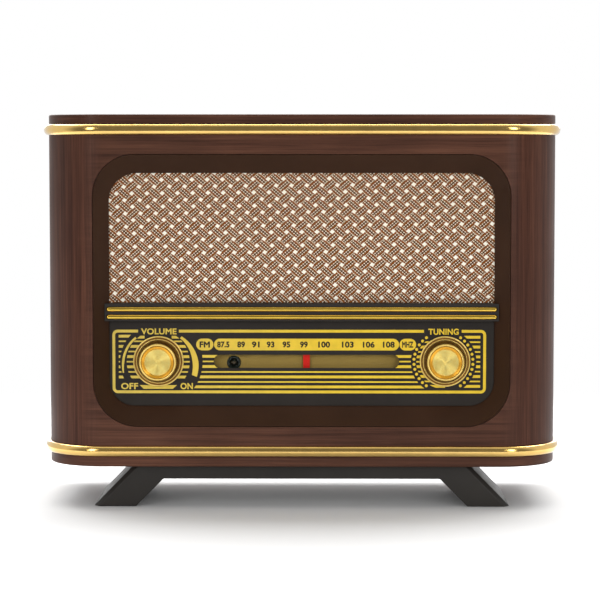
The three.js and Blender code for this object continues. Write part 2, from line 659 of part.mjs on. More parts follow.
// Main board on four legs, with its larger components.
function mainBoard() {
  const [x0, x1, y0, y1] = [-60, 40, 52, 104];
  const top = 38.6;
  const floor = BASE_Z + BASE_BOARD + GAP;
  const legs = [[x0 + 5, y0 + 5], [x1 - 5, y0 + 5], [x0 + 5, y1 - 5], [x1 - 5, y1 - 5]].map(([x, y]) =>
    rodZ(2.5, floor, top - 1, x, y, 10));
  const capacitors = [[-45, 66], [-32, 66], [20, 92]].map(([x, y]) =>
    rodZ(4.5, top - 0.5, top + 14, x, y, 12));
  const chips = [box(-15, 3, 70, 78, top - 0.5, top + 3.5), box(-50, -36, 84, 94, top - 0.5, top + 9),
    box(10, 30, 62, 66, top - 0.5, top + 20), box(-12, 6, 88, 98, top - 0.5, top + 6)];
  return union(box(x0, x1, y0, y1, top - 1.6, top), ...legs, ...capacitors, ...chips);
}

// A mains transformer: an iron core with a winding round its middle limb, on two feet.
function transformer() {
  const floor = BASE_Z + BASE_BOARD + GAP;
  return union(
    box(66, 112, 58, 74, floor + 1, floor + 40),
    box(74, 104, 50, 82, floor + 8, floor + 33),
    box(60, 118, 58, 74, floor, floor + 1.5));
}

// The two-pin mains inlet in the rear cover.
function mainsInlet() {
  const { x, z, halfWidth, halfHeight } = INLET;
  const recess = stadium(x, z, 7.8, 4.2);
  return union(
    cut(
      union(
        box(x - halfWidth, x + halfWidth, DEPTH + GAP, DEPTH + 2, z - halfHeight, z + halfHeight),
        box(x - 9, x + 9, DEPTH - 14, DEPTH + 1, z - 6, z + 6)),
      slabY(recess, DEPTH - 11, DEPTH + 3)),
    rodY(1.2, DEPTH - 12, DEPTH - 2, x - 4.3, z, 10),
    rodY(1.2, DEPTH - 12, DEPTH - 2, x + 4.3, z, 10));
}

// ---------------------------------------------------------------- aerial

const EAR_HALF = 5.4;
const KNUCKLE_HALF = 3.4;

// The base turns in the rear cover and carries two ears for the mast's knuckle.
function aerialBase() {
  const { y } = AERIAL;
  const disc = rodY(9, DEPTH + GAP, DEPTH + 3.6);
  const stem = rodY(3.6, DEPTH - 9, DEPTH + 1);
  const ears = [-1, 1].map((side) => {
    const [z0, z1] = [side * (KNUCKLE_HALF + GAP), side * EAR_HALF].sort((a, b) => a - b);
    return union(box(-MAST_R, MAST_R, DEPTH + 3, y, z0, z1), rodZ(MAST_R, z0, z1, 0, y, 16));
  });
  const pin = rodZ(1.4, -EAR_HALF, EAR_HALF, 0, y, 10);
  return union(disc, stem, ...ears, pin);
}

const aerialNut = () => cut(
  rodY(6, DEPTH - COVER - GAP - 3, DEPTH - COVER - GAP, 0, 0, 6), rodY(3.7, 0, DEPTH));

// The mast's outer tube lies along -X from its knuckle; the sections slide inside it.
function aerialMast() {
  const knuckle = rodZ(MAST_R - 0.1, -KNUCKLE_HALF, KNUCKLE_HALF, 0, 0, 16);
  const tube = rodX(MAST_R, -MAST_LENGTH, -3, 0, 0, 16);
  return cut(
    union(knuckle, cut(tube, box(-4, 4, -9, 9, KNUCKLE_HALF, 9), box(-4, 4, -9, 9, -9, -KNUCKLE_HALF))),
    rodX(MAST_R - TUBE_WALL, -MAST_LENGTH - 1, -6, 0, 0, 16),
    rodZ(1.4 + SLIP, -9, 9, 0, 0, 10));
}

// Each section sticks out of the one before it by a few millimetres when folded.
const SECTION_OUT = 2.5;

function aerialSection(level) {
  const r = SECTION_RS[level];
  const outer = rodX(r, -MAST_LENGTH - SECTION_OUT * (level + 1), -8, 0, 0, 14);
  return cut(outer, rodX(r - TUBE_WALL, -MAST_LENGTH - 99, 0, 0, 0, 14));
}

const aerialTip = () => union(
  rodX(SECTION_RS[2], -MAST_LENGTH - SECTION_OUT * 3, -8, 0, 0, 14),
  rodX(2.9, -MAST_LENGTH - SECTION_OUT * 3 - 3, -MAST_LENGTH - SECTION_OUT * 3, 0, 0, 14));

// ---------------------------------------------------------------- assembly

const radio = new THREE.Group();
const cabinet = new THREE.Group();
const front = new THREE.Group();
const drive = new THREE.Group();
const sound = new THREE.Group();
const back = new THREE.Group();
radio.add(cabinet, front, drive, sound, back);

put(cabinet, 'cabinet_shell', cabinetShell(), wood);
put(cabinet, 'top_board', topBoard(), wood);
put(cabinet, 'base_board', baseBoard(), wood);
put(cabinet, 'trim_top', trimBand(TRIM_TOP_Z), gold);
put(cabinet, 'trim_bottom', trimBand(TRIM_BOTTOM_Z), gold);
put(cabinet, 'foot_bracket', footBracket(), blackPlastic);
put(cabinet, 'foot_pad_right', footPad(), rubber);
put(cabinet, 'foot_pad_left', footPad(), rubber, [-FOOT.inner - FOOT.outer, 0, 0]);

const bracketScrew = solid(new THREE.CylinderGeometry(3, 3, 2, 10).rotateX(Math.PI / 2))
  .add(rodZ(SCREW_R, 0, 10.5, 0, 0, 8));
for (const [side, sign] of [['left', -1], ['right', 1]]) {
  const place = [sign * BRACKET_SCREW.x, BRACKET_SCREW.y, FOOT.archZ + 1.1];
  put(cabinet, `bracket_screw_${side}`, bracketScrew, steel, place);
}

put(front, 'recess_bezel', recessBezel(), bezelBrown);
put(front, 'sub_front_board', subFrontBoard(), board);
put(front, 'grille_cloth', grilleCloth(), clothTan);
put(front, 'divider_bar', dividerBar(), blackPlastic);
for (const [place, z] of Object.entries(ROD_ZS)) {
  put(front, `gold_rod_${place}`, goldRod(), gold, [0, BAR_FRONT - 0.15, z]);
}
put(front, 'dial_plate', dialPlate(), blackPlastic);
put(front, 'dial_window', dialWindow(), clear);
put(front, 'dial_backplate', dialBackplate(), tan);
put(front, 'lamp_holder', lampHolder(), blackPlastic, [LAMP.x, 0, LAMP.z]);
put(front, 'dial_lamp', dialLamp(), clear, [LAMP.x, 0, LAMP.z]);

put(drive, 'volume_knob', knobBody(), gold, [-KNOB_X, 0, KNOB_Z]);
put(drive, 'volume_knob_cap', knobCap(), gold, [-KNOB_X, 0, KNOB_Z]);
put(drive, 'volume_shaft', volumeShaft(), steel, [-KNOB_X, 0, KNOB_Z]);
put(drive, 'volume_potentiometer', potentiometer(), steel, [-KNOB_X, 0, KNOB_Z]);
put(drive, 'tuning_knob', knobBody(), gold, [KNOB_X, 0, KNOB_Z]);
put(drive, 'tuning_knob_cap', knobCap(), gold, [KNOB_X, 0, KNOB_Z]);
put(drive, 'tuning_spindle', tuningSpindle(), steel, [KNOB_X, 0, KNOB_Z]);
put(drive, 'tuning_bushing', tuningBushing(), steel, [KNOB_X, 0, KNOB_Z]);
put(drive, 'cord_drum', cordDrum(), blackPlastic, [DRUM.x, CORD_Y, DRUM.z]);
put(drive, 'idler_pulley', pulley(IDLER.r, 1.2, IDLER_PIN_R + SLIP, 2, ROUND), blackPlastic,
  [IDLER.x, CORD_Y, IDLER.z]);
put(drive, 'dial_cord', dialCord(), cordWhite);
put(drive, 'pointer', pointerBlade(), red, [WINDOW.x, 0, 0]);
put(drive, 'pointer_carriage', pointerCarriage(), blackPlastic, [WINDOW.x, 0, 0]);
put(drive, 'pointer_rail', rodX(RAIL.r, -66, 77, RAIL.y, RAIL.z, 12), steel);
put(drive, 'dial_chassis', dialChassis(), steel);
put(drive, 'tuning_capacitor', capacitorFrame(), steel, [DRUM.x, 0, DRUM.z]);
put(drive, 'capacitor_rotor', capacitorRotor(), steel, [DRUM.x, 0, DRUM.z]);

put(sound, 'speaker_basket', speakerBasket(), blackPlastic, [0, 0, SPEAKER_Z]);
put(sound, 'speaker_cone', speakerCone(), paper, [0, 0, SPEAKER_Z]);
put(sound, 'speaker_magnet', speakerMagnet(), steel, [0, 0, SPEAKER_Z]);
screwGrid.forEach(([sx, sz], i) => {
  put(sound, `speaker_screw_${i + 1}`, panScrew(4.5), steel,
    [sx * SPEAKER_SCREWS, BOARD_REAR + 1.4 + 0.1, SPEAKER_Z + sz * SPEAKER_SCREWS]);
});
put(sound, 'main_board', mainBoard(), green);
put(sound, 'mains_transformer', transformer(), steel);

put(back, 'rear_cover', rearCover(), blackPlastic);
for (const [side, sign] of [['left', -1], ['right', 1]]) {
  REAR_SCREWS.zs.forEach((z, i) => {
    const place = [sign * REAR_SCREWS.x, DEPTH + 0.1, z];
    put(back, `rear_screw_${side}_${['low', 'high'][i]}`, panScrew(14), steel, place);
  });
}
put(back, 'mains_inlet', mainsInlet(), blackPlastic);
put(back, 'aerial_base', aerialBase(), chrome, [AERIAL.x, 0, AERIAL.z]);
put(back, 'aerial_nut', aerialNut(), steel, [AERIAL.x, 0, AERIAL.z]);
const folded = [AERIAL.x, AERIAL.y, AERIAL.z];
put(back, 'aerial_mast', aerialMast(), chrome, folded);
put(back, 'aerial_section_1', aerialSection(0), chrome, folded);
put(back, 'aerial_section_2', aerialSection(1), chrome, folded);
put(back, 'aerial_tip', aerialTip(), chrome, folded);

// The outline runs from the trims' front to the mast's back.
radio.position.y = -(AERIAL.y + MAST_R - TRIM_PROUD) / 2;

export default radio;
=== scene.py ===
"""A tabletop radio with a rounded wooden cabinet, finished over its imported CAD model.

Shapes are drawn in millimetres from the cabinet's front face: X to the right, Y to the back
and Z up from the table. at() turns them into the CAD frame's metres.
"""

import math
import random

import bmesh
import bpy
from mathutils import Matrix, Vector


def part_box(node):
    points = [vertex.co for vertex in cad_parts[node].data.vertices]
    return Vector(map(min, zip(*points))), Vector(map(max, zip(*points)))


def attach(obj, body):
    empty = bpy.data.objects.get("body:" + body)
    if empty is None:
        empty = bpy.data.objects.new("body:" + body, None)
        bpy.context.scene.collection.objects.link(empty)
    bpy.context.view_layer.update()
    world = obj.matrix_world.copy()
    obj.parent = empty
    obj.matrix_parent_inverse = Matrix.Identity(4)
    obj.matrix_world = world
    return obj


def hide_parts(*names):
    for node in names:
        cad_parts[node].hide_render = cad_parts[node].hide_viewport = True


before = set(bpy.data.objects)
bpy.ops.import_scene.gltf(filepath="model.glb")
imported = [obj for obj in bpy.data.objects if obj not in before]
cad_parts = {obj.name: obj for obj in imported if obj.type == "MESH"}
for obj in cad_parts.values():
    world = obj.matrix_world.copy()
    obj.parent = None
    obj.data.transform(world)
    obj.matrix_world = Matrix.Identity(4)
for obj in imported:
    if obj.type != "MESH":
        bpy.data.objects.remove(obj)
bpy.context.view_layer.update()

MM = 0.001
FRONT_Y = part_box("cabinet_shell")[0].y

# ------------------------------------------------------------------ driving dimensions

# Cabinet
HALF_WIDTH = 150.0
DEPTH = 115.3
SHELL_BACK = 112.0
CORNER_R = 34.0
WALL = 9.0
FRONT_WALL = 14.5
SHELL_Z = (31.3, 221.7)
TOP_BOARD_Z = (222.0, 230.2)
BASE_BOARD_Z = (24.7, 31.0)
CORNER_STEPS = 40

# Trim bands
TRIM_HALF = 3.25
TRIM_SEAT = 0.15
TRIM_PROUD = 3.0
TRIM_EDGE = 0.25  # flat rim between the seat and the curve
TRIM_TOP_Z = 221.45
TRIM_BOTTOM_Z = 33.95

# Front recess and its bezel
OPENING = {"half": 121.6, "z0": 48.2, "z1": 207.2, "top": 24.6, "bottom": 26.2}
RECESS = {"half": 113.0, "z0": 59.3, "z1": 196.1, "top": 16.6, "bottom": 14.8}
RECESS_Y = 12.0
BEZEL_Y = (0.3, 12.5)
BEZEL_SAG = 0.35
FRAME_STEPS = 24

# Cloth
CLOTH_HALF = 114.6
CLOTH_Z = (120.1, 197.7)
CLOTH_BASE_Y = 14.1
WEAVE_ACROSS = Vector((8.94, 0.078))
WEAVE_DOWN = Vector((-4.25, -3.94))
WEAVE_START = Vector((-81.3, 176.45))
BUNDLE_HALF = 3.4
BUNDLE_THREADS = ((-1.52, 0.40, "brown"), (-0.66, 0.30, "dotted"), (0.0, 0.22, "dark"),
                  (0.66, 0.30, "dotted"), (1.52, 0.40, "brown"))  # offset, half width, yarn
BAR_OFFSET = 3.58  # from a crossing to the pale thread over each end of its bundle
YARN_STEPS = 5
YARN_ANGLES = (0, 60, 120, 180)
YARN_HEIGHT = 0.75  # of its half width

# Divider bar and rods
BAR_Z = (109.4, 119.8)
BAR_FRONT = 8.0
ROD_R = 1.4
ROD_Y = 7.85
ROD_ZS = {"lower": 112.0, "upper": 116.5}

# Dial
DIAL_Y = (12.8, 14.4)
DIAL_Z = (57.7, 109.1)
WINDOW = {"x": 2.8, "z": 85.4, "half": 54.35, "r": 3.92}
LAMP = (-40.1, 84.1)
LAMP_HOLE = 4.2
POINTER_HALF = 2.0
PRINT_THICK = 0.06
INK_Y = DIAL_Y[0] - PRINT_THICK
SHAFT_HOLE = 4.7
BACKPLATE = {"half": 63.0, "y": (19.1, 20.1), "z": (75.0, 94.3)}
POINTER_TOP = 96.6

# What is printed on the dial, with the bars' half heights
THICK = 0.8
THIN = 0.43
PRINT_FRAME = {"x0": -111.3, "x1": 108.3, "z0": 66.6, "z1": 104.1, "r": 3.1, "width": 1.65}
VOLUME_GAP = (-96.2, -72.2)
TUNING_GAP = (71.8, 94.0)
VOLUME_C = (-84.4, 85.2)
VOLUME_PITCH = 3.015
VOLUME_BARS_R = 18.5
TUNING_C = (83.3, 85.3)
TUNING_PITCH = 2.9
DOTS = {"count": 12, "ring": 17.35, "r": 0.88, "top": 54.8}
STRIPE_START_R = 26.2  # round the volume knob
STRIPES = ((79.2, THIN), (76.3, THICK), (73.3, THIN), (70.4, THICK))
KNOB_BEHIND = 8.0  # the bars round the volume knob stop this far from its middle
SCALE_Z = 95.4
SCALE_PILLS = ((-62.0, -51.9), (-51.5, 57.2), (57.5, 67.2))
WORDS = (("VOLUME", -84.0, 103.1, 20.9, 3.6), ("TUNING", 83.3, 103.0, 17.8, 3.6),
         ("OFF", -101.3, 70.8, 10.0, 3.75), ("ON", -67.7, 70.8, 7.3, 3.75))
SCALE = (("87.5", -46.1, 7.2), ("89", -35.6, 4.5), ("91", -27.0, 4.5), ("93", -18.3, 4.5),
         ("95", -9.0, 4.5), ("99", 1.3, 4.5), ("100", 13.2, 6.9), ("103", 27.1, 6.9),
         ("106", 39.4, 6.9), ("108", 51.2, 6.9), ("FM", -57.0, 6.1), ("MHZ", 62.3, 6.6))

# Knobs
KNOB_X = 84.2
KNOB_Z = 85.6
KNOB_STEPS = 360
KNURL_STEPS = 4  # of the steps, for each tooth of the knurling and its gap

# Foot bracket
FOOT = {"front": 8.0, "depth": 72.0, "floor": 0.3, "top": 24.4}
FOOT_OUTER = 122.4
FOOT_INNER = 97.4
FOOT_TOP = 98.9
FOOT_ARCH = 81.3
FOOT_ARCH_Z = 16.5
FOOT_CHAMFER = 3.0
BRACKET_SCREW = (60.0, 44.0)

# Rear
REAR_SCREWS = {"x": 145.5, "low": 45.0, "high": 208.0}
AERIAL = (112.0, 123.8, 203.0)


def at(x, y, z):
    """A point drawn in millimetres from the cabinet's front face, in the CAD frame."""
    return (x * MM, FRONT_Y + y * MM, z * MM)


# ------------------------------------------------------------------ camera, floor and light

LENS_MM = 138.0
SENSOR_MM = 36.0
CAMERA_AT = (0.0110, -1.39615, 0.21275)
CAMERA_DOWN = 3.87
CAMERA_LEFT = 0.51

ROOM_LIGHT = 0.8
FRONT_DARK = 0.25  # how bright the room is in front of the radio, as a share of the rest
ROOM_CEILING = (0.80, 0.92)
ROOM_FRONT = (-0.70, -0.10)
FLOOR_COLOUR = (0.76, 0.76, 0.76)
FLOOR_FADE = (0.38, 0.62)
AIM = (0, 0, 0.12)


def make_camera():
    camera = bpy.data.objects.new("camera", bpy.data.cameras.new("camera"))
    bpy.context.scene.collection.objects.link(camera)
    camera.data.lens = LENS_MM
    camera.data.sensor_width = SENSOR_MM
    camera.data.clip_start = 0.01
    camera.location = CAMERA_AT
    camera.rotation_euler = (math.radians(90 - CAMERA_DOWN), 0, math.radians(CAMERA_LEFT))
    bpy.context.scene.camera = camera


def soft_light(name, place, target, width, height, watts, mirrored=True):
    """An area light aimed at target. With mirrored off, glossy surfaces don't reflect it."""
    lamp = bpy.data.lights.new(name, "AREA")
    lamp.shape = "RECTANGLE"
    lamp.size = width
    lamp.size_y = height
    lamp.energy = watts
    light = bpy.data.objects.new(name, lamp)
    bpy.context.scene.collection.objects.link(light)
    light.location = place
    aim = Vector(target) - Vector(place)
    light.rotation_euler = aim.to_track_quat("-Z", "Y").to_euler()
    light.visible_glossy = mirrored


def make_floor():
    """A pale floor that fades into the white room all round the radio."""
    mesh = bpy.data.meshes.new("floor")
    reach = FLOOR_FADE[1]
    mesh.from_pydata([(-reach, -reach, 0), (reach, -reach, 0), (reach, reach, 0), (-reach, reach, 0)],
                     [], [(0, 1, 2, 3)])
    floor = bpy.data.objects.new("floor", mesh)
    bpy.context.scene.collection.objects.link(floor)
    finish = Finish("floor", FLOOR_COLOUR, 0.8, Specular_IOR_Level=0.1)
    distance = finish.node("VectorMath")
    distance.operation = "LENGTH"
    finish.link(finish.place(), distance.inputs[0])
    finish.link(finish.rescale(distance.outputs["Value"], *FLOOR_FADE, 1.0, 0.0, smooth=True),
                finish.shader.inputs["Alpha"])
    mesh.materials.append(finish.material)


def make_world():
    """A white room. Below the ceiling, the side behind the camera is dark."""
    world = bpy.data.worlds.new("room")
    bpy.context.scene.world = world
    world.use_nodes = True
    world.node_tree.nodes.clear()
    room = Nodes(world.node_tree)
    place = room.node("SeparateXYZ")
    room.link(room.node("TexCoord").outputs["Generated"], place.inputs[0])
    bright = room.math("MAXIMUM", room.rescale(place.outputs["Z"], *ROOM_CEILING, smooth=True),
                       room.rescale(place.outputs["Y"], *ROOM_FRONT, smooth=True))
    lit = room.node("Background", Strength=ROOM_LIGHT)
    room.link(room.rescale(bright, 0.0, 1.0, FRONT_DARK, 1.0), lit.inputs["Color"])
    seen = room.node("Background", Strength=1.0, Color=(1, 1, 1, 1))
    choose = room.node("MixShader")
    direct = room.node("LightPath").outputs["Is Camera Ray"]
    for source, socket in zip((direct, lit.outputs[0], seen.outputs[0]), choose.inputs):
        room.link(source, socket)
    room.link(choose.outputs[0], room.node("OutputWorld").inputs["Surface"])


def make_lights():
    soft_light("overhead", (0, 0.52, 1.1), (0, 0.1, 0.1), 1.8, 0.9, 32)
    soft_light("left_side", (-0.78, -1.42, 0.6), AIM, 0.3, 0.9, 4.6)
    soft_light("right_side", (0.78, -1.42, 0.6), AIM, 0.3, 0.9, 4.6)
    soft_light("front_fill", (0, -2.4, 0.45), AIM, 2.6, 0.9, 24, mirrored=False)
    soft_light("behind_fill", (0, 2.2, 1.0), AIM, 2.4, 1.4, 20)


# ------------------------------------------------------------------ materials


class Nodes:
    """A node tree, with short calls for the nodes that a room and a material share."""

    def __init__(self, tree):
        self.tree = tree

    def node(self, kind, **inputs):
        node = self.tree.nodes.new("ShaderNode" + kind)
        for socket, value in inputs.items():
            node.inputs[socket.replace("_", " ")].default_value = value
        return node

    def link(self, a, b):
        self.tree.links.new(a, b)

    def rescale(self, value, low, high, to_low=0.0, to_high=1.0, smooth=False):
        scaled = self.node("MapRange")
        scaled.interpolation_type = "SMOOTHSTEP" if smooth else "LINEAR"
        for socket, number in zip(("From Min", "From Max", "To Min", "To Max"),
                                  (low, high, to_low, to_high)):
            scaled.inputs[socket].default_value = number
        self.link(value, scaled.inputs["Value"])
        return scaled.outputs[0]

    def math(self, operation, a, b=None):
        node = self.node("Math")
        node.operation = operation
        for socket, value in zip(node.inputs, (a, b)):
            if isinstance(value, (int, float)):
                socket.default_value = value
            elif value is not None:
                self.link(value, socket)
        return node.outputs[0]


class Finish(Nodes):
    """A Principled material, with short calls for the nodes that colour and roughen it."""

    def __init__(self, name, colour=(0.8, 0.8, 0.8), roughness=0.5, metallic=0.0, **sockets):
        self.material = bpy.data.materials.new(name)
        self.material.use_nodes = True
        super().__init__(self.material.node_tree)
        self.shader = self.tree.nodes["Principled BSDF"]
        self.set("Base Color", (*colour, 1))
        self.set("Roughness", roughness)
        self.set("Metallic", metallic)
        for socket, value in sockets.items():
            self.set(socket.replace("_", " "), value)
        self.material.diffuse_color = (*colour, 1)

    def set(self, socket, value):
        self.shader.inputs[socket].default_value = value

    def place(self, scale=(1, 1, 1), turn=(0, 0, 0), source="Object"):
        """Coordinates in metres of the CAD frame, stretched by scale."""
        coordinates = self.node("TexCoord")
        mapping = self.node("Mapping")
        mapping.inputs["Scale"].default_value = scale
        mapping.inputs["Rotation"].default_value = turn
        self.link(coordinates.outputs[source], mapping.inputs["Vector"])
        return mapping.outputs[0]

    def noise(self, scale, detail=4.0, roughness=0.55, stretch=(1, 1, 1), distortion=0.0):
        noise = self.node("TexNoise", Scale=scale, Detail=detail, Roughness=roughness,
                          Distortion=distortion)
        self.link(self.place(stretch), noise.inputs["Vector"])
        return noise.outputs["Fac"]

    def ramp(self, value, *stops):
        ramp = self.node("ValToRGB")
        elements = ramp.color_ramp.elements
        while len(elements) < len(stops):
            elements.new(0.5)
        for element, (position, colour) in zip(elements, stops):
            element.position = position
            element.color = (*colour, 1)
        self.link(value, ramp.inputs[0])
        return ramp.outputs[0]

    def blend(self, a, b, share):
        """a in its share, and b in what is left of 1."""
        return self.math("ADD", self.math("MULTIPLY", a, share), self.math("MULTIPLY", b, 1 - share))

    def mix(self, factor, a, b, blend="MIX"):
        node = self.node("Mix")
        node.data_type = "RGBA"
        node.blend_type = blend
        sockets = (node.inputs[0], node.inputs[6], node.inputs[7])
        for socket, value in zip(sockets, (factor, a, b)):
            if isinstance(value, (int, float)):
                socket.default_value = value
            elif isinstance(value, tuple):
                socket.default_value = (*value, 1)
            else:
                self.link(value, socket)
        return node.outputs[2]

    def colour(self, value):
        self.link(value, self.shader.inputs["Base Color"])

    def roughness(self, value):
        self.link(value, self.shader.inputs["Roughness"])

    def bump(self, height, strength, distance):
        bump = self.node("Bump", Strength=strength, Distance=distance)
        self.link(height, bump.inputs["Height"])
        self.link(bump.outputs[0], self.shader.inputs["Normal"])


def linear(r, g, b):
    """A colour read as 0 to 255, in the linear values that Blender works in."""
    return tuple(((c / 255 + 0.055) / 1.055) ** 2.4 if c > 10 else c / 255 / 12.92 for c in (r, g, b))


def wood_finish(name, banded):
    """Stained veneer. With banded, the grain turns from level on the front to upright at the corners."""
    finish = Finish(name, roughness=0.38, Specular_IOR_Level=0.15)
    level = finish.noise(1.0, 7, 0.62, (9, 40, 420))
    height = finish.noise(1.0, 3, 0.7, (30, 200, 1900))
    blotches = finish.noise(14, 3, 0.5)
    colour = finish.ramp(finish.blend(level, height, 0.7), (0.36, linear(56, 33, 24)),
                         (0.50, linear(78, 49, 37)), (0.66, linear(96, 62, 47)))
    if banded:
        upright = finish.noise(1.0, 7, 0.66, (420, 420, 6), 0.4)
        upright_fine = finish.noise(1.0, 4, 0.7, (1700, 1700, 26))
        side_colour = finish.ramp(finish.blend(upright, upright_fine, 0.6), (0.36, linear(54, 31, 24)),
                                  (0.5, linear(75, 46, 35)), (0.66, linear(98, 62, 47)))
        parts = finish.node("SeparateXYZ")
        finish.link(finish.place(), parts.inputs[0])
        across = finish.math("ABSOLUTE", parts.outputs["X"])
        wobble = finish.math("MULTIPLY", finish.math("SUBTRACT", finish.noise(30, 2, 0.5), 0.5), 0.02)
        turned = finish.rescale(finish.math("ADD", across, wobble), 0.112, 0.131, smooth=True)
        colour = finish.mix(turned, colour, side_colour)
        height = finish.mix(turned, height, upright_fine)
    shaded = finish.mix(finish.rescale(blotches, 0.35, 0.7), colour, (0.72, 0.70, 0.68), "MULTIPLY")
    finish.colour(shaded)
    finish.roughness(finish.rescale(blotches if banded else level, 0.3, 0.7, 0.30, 0.46))
    finish.bump(height, 0.12, 0.0004)
    return finish.material


def gold_finish(name, colour, roughness, wear=0.04, metallic=1.0, **sockets):
    finish = Finish(name, colour, roughness, metallic, **sockets)
    tint = finish.ramp(finish.noise(60, 4, 0.6),
                       (0.35, tuple(c * 0.86 for c in colour)), (0.65, colour))
    finish.colour(tint)
    finish.roughness(finish.rescale(finish.noise(220, 5, 0.6), 0.3, 0.7,
                                    roughness - wear, roughness + wear))
    finish.bump(finish.noise(900, 3, 0.5), 0.03, 0.0002)
    return finish.material


def spun_finish(name, x, z):
    """Turned brass: fine rings round an axis along Y through x, z, with the fan of light they give."""
    finish = Finish(name, linear(254, 236, 160), 0.5, 0.8, Anisotropic=0.95)
    outward = finish.node("VectorMath")
    outward.operation = "SUBTRACT"
    outward.inputs[1].default_value = at(x, 0, z)
    finish.link(finish.place(), outward.inputs[0])
    along = finish.node("VectorMath")
    along.operation = "CROSS_PRODUCT"
    along.inputs[1].default_value = (0, 1, 0)
    finish.link(outward.outputs[0], along.inputs[0])
    turned = finish.node("VectorTransform")
    turned.vector_type = "VECTOR"
    turned.convert_from = "OBJECT"
    turned.convert_to = "WORLD"
    finish.link(along.outputs[0], turned.inputs[0])
    finish.link(turned.outputs[0], finish.shader.inputs["Tangent"])
    finish.colour(finish.ramp(finish.noise(500, 5, 0.7),
                              (0.3, linear(248, 216, 112)), (0.7, linear(255, 236, 146))))
    finish.roughness(finish.rescale(finish.noise(900, 4, 0.6), 0.3, 0.7, 0.44, 0.56))
    return finish.material


def plastic_finish(name, colour, roughness, grain=1400, depth=0.06, **sockets):
    """Moulded plastic with a fine texture."""
    finish = Finish(name, colour, roughness, **sockets)
    dark, pale = (tuple(c * share for c in colour) for share in (0.85, 1.12))
    finish.colour(finish.ramp(finish.noise(25, 4, 0.6), (0.3, dark), (0.7, pale)))
    finish.roughness(finish.rescale(finish.noise(180, 4, 0.6), 0.3, 0.7,
                                    roughness - 0.05, roughness + 0.06))
    finish.bump(finish.noise(grain, 4, 0.65), depth, 0.0002)
    return finish.material


def metal_finish(name, colour, roughness, stretch=(1, 1, 1), scale=300):
    finish = Finish(name, colour, roughness, 1.0)
    streaks = finish.noise(scale, 5, 0.6, stretch)
    finish.colour(finish.ramp(streaks, (0.3, tuple(c * 0.75 for c in colour)), (0.7, colour)))
    finish.roughness(finish.rescale(streaks, 0.3, 0.7, roughness - 0.06, roughness + 0.1))
    finish.bump(streaks, 0.04, 0.0002)
    return finish.material


def fibre_finish():
    """Pressed board: a brown mat of short fibres."""
    finish = Finish("fibre_board", linear(78, 58, 42), 0.8)
    long = finish.noise(1.0, 6, 0.7, (900, 900, 260))
    speck = finish.noise(700, 3, 0.8)
    mat = finish.blend(long, speck, 0.6)
    finish.colour(finish.ramp(mat, (0.36, linear(46, 33, 24)), (0.5, linear(82, 61, 44)),
                              (0.66, linear(122, 96, 70))))
    finish.bump(mat, 0.35, 0.0003)
    return finish.material


def thread_finish(name, colour, dark, pitch=0.0, other=None):
    """Yarn. Its plies twist along the thread, whose length and width are in the UV map in millimetres.
    With pitch, it is spun from two colours that take turns."""
    finish = Finish(name, colour, 0.85, Specular_IOR_Level=0.1)
    uv = finish.node("UVMap")
    parts = finish.node("SeparateXYZ")
    finish.link(uv.outputs[0], parts.inputs[0])
    along, across = parts.outputs["X"], parts.outputs["Y"]
    slant = finish.math("ADD", finish.math("MULTIPLY", along, 9.0), finish.math("MULTIPLY", across, 5.0))
    plies = finish.math("SINE", slant)
    shade = finish.mix(finish.rescale(plies, -1, 1), dark, colour)
    if other:
        wave = finish.math("SINE", finish.math("MULTIPLY", along, 2 * math.pi / pitch))
        shade = finish.mix(finish.rescale(wave, -0.25, 0.25), other, shade)
    worn = finish.mix(finish.rescale(finish.noise(60, 3, 0.5), 0.4, 0.75, 0.0, 0.3), shade, dark)
    finish.colour(worn)
    finish.bump(plies, 0.35, 0.00012)
    return finish.material


def cloth_base_finish():
    """The ground under the threads, woven of fine brown yarn."""
    finish = Finish("cloth_ground", linear(96, 58, 30), 0.9, Specular_IOR_Level=0.1)
    waves = []
    for slant in (40, -40):
        wave = finish.node("TexWave", Scale=260.0, Distortion=0.6, Detail=1.0)
        finish.link(finish.place(turn=(0, math.radians(slant), 0)), wave.inputs["Vector"])
        waves.append(wave.outputs["Fac"])
    weave = finish.math("MULTIPLY", *waves)
    finish.colour(finish.ramp(weave, (0.1, linear(48, 28, 14)), (0.8, linear(112, 70, 38))))
    finish.bump(weave, 0.5, 0.0003)
    return finish.material


def clear_finish():
    finish = Finish("clear_plastic", (0.02, 0.02, 0.02), 0.12, Alpha=0.03)
    finish.roughness(finish.rescale(finish.noise(120, 3, 0.5), 0.3, 0.7, 0.08, 0.16))
    return finish.material


def print_finish():
    """Gold foil stamped on the dial, a little richer in the middle of the scale."""
    finish = Finish("gold_print", linear(224, 192, 66), 0.42, 0.25)
    parts = finish.node("SeparateXYZ")
    finish.link(finish.place(), parts.inputs[0])
    tint = finish.ramp(finish.rescale(parts.outputs["X"], -0.115, 0.115),
                       (0.0, linear(212, 186, 84)), (0.55, linear(236, 200, 52)),
                       (1.0, linear(232, 196, 46)))
    worn = finish.rescale(finish.noise(150, 4, 0.6), 0.35, 0.7)
    finish.colour(finish.mix(worn, tint, (0.86, 0.85, 0.8), "MULTIPLY"))
    finish.bump(finish.noise(1200, 3, 0.6), 0.08, 0.0001)
    return finish.material


def lamp_finish():
    finish = Finish("lamp_plastic", linear(50, 44, 28), 0.35, Specular_IOR_Level=0.3)
    cells = finish.node("TexVoronoi", Scale=700.0)
    finish.link(finish.place(), cells.inputs["Vector"])
    finish.colour(finish.ramp(cells.outputs["Distance"],
                              (0.2, linear(66, 52, 26)), (0.6, linear(22, 26, 20))))
    return finish.material


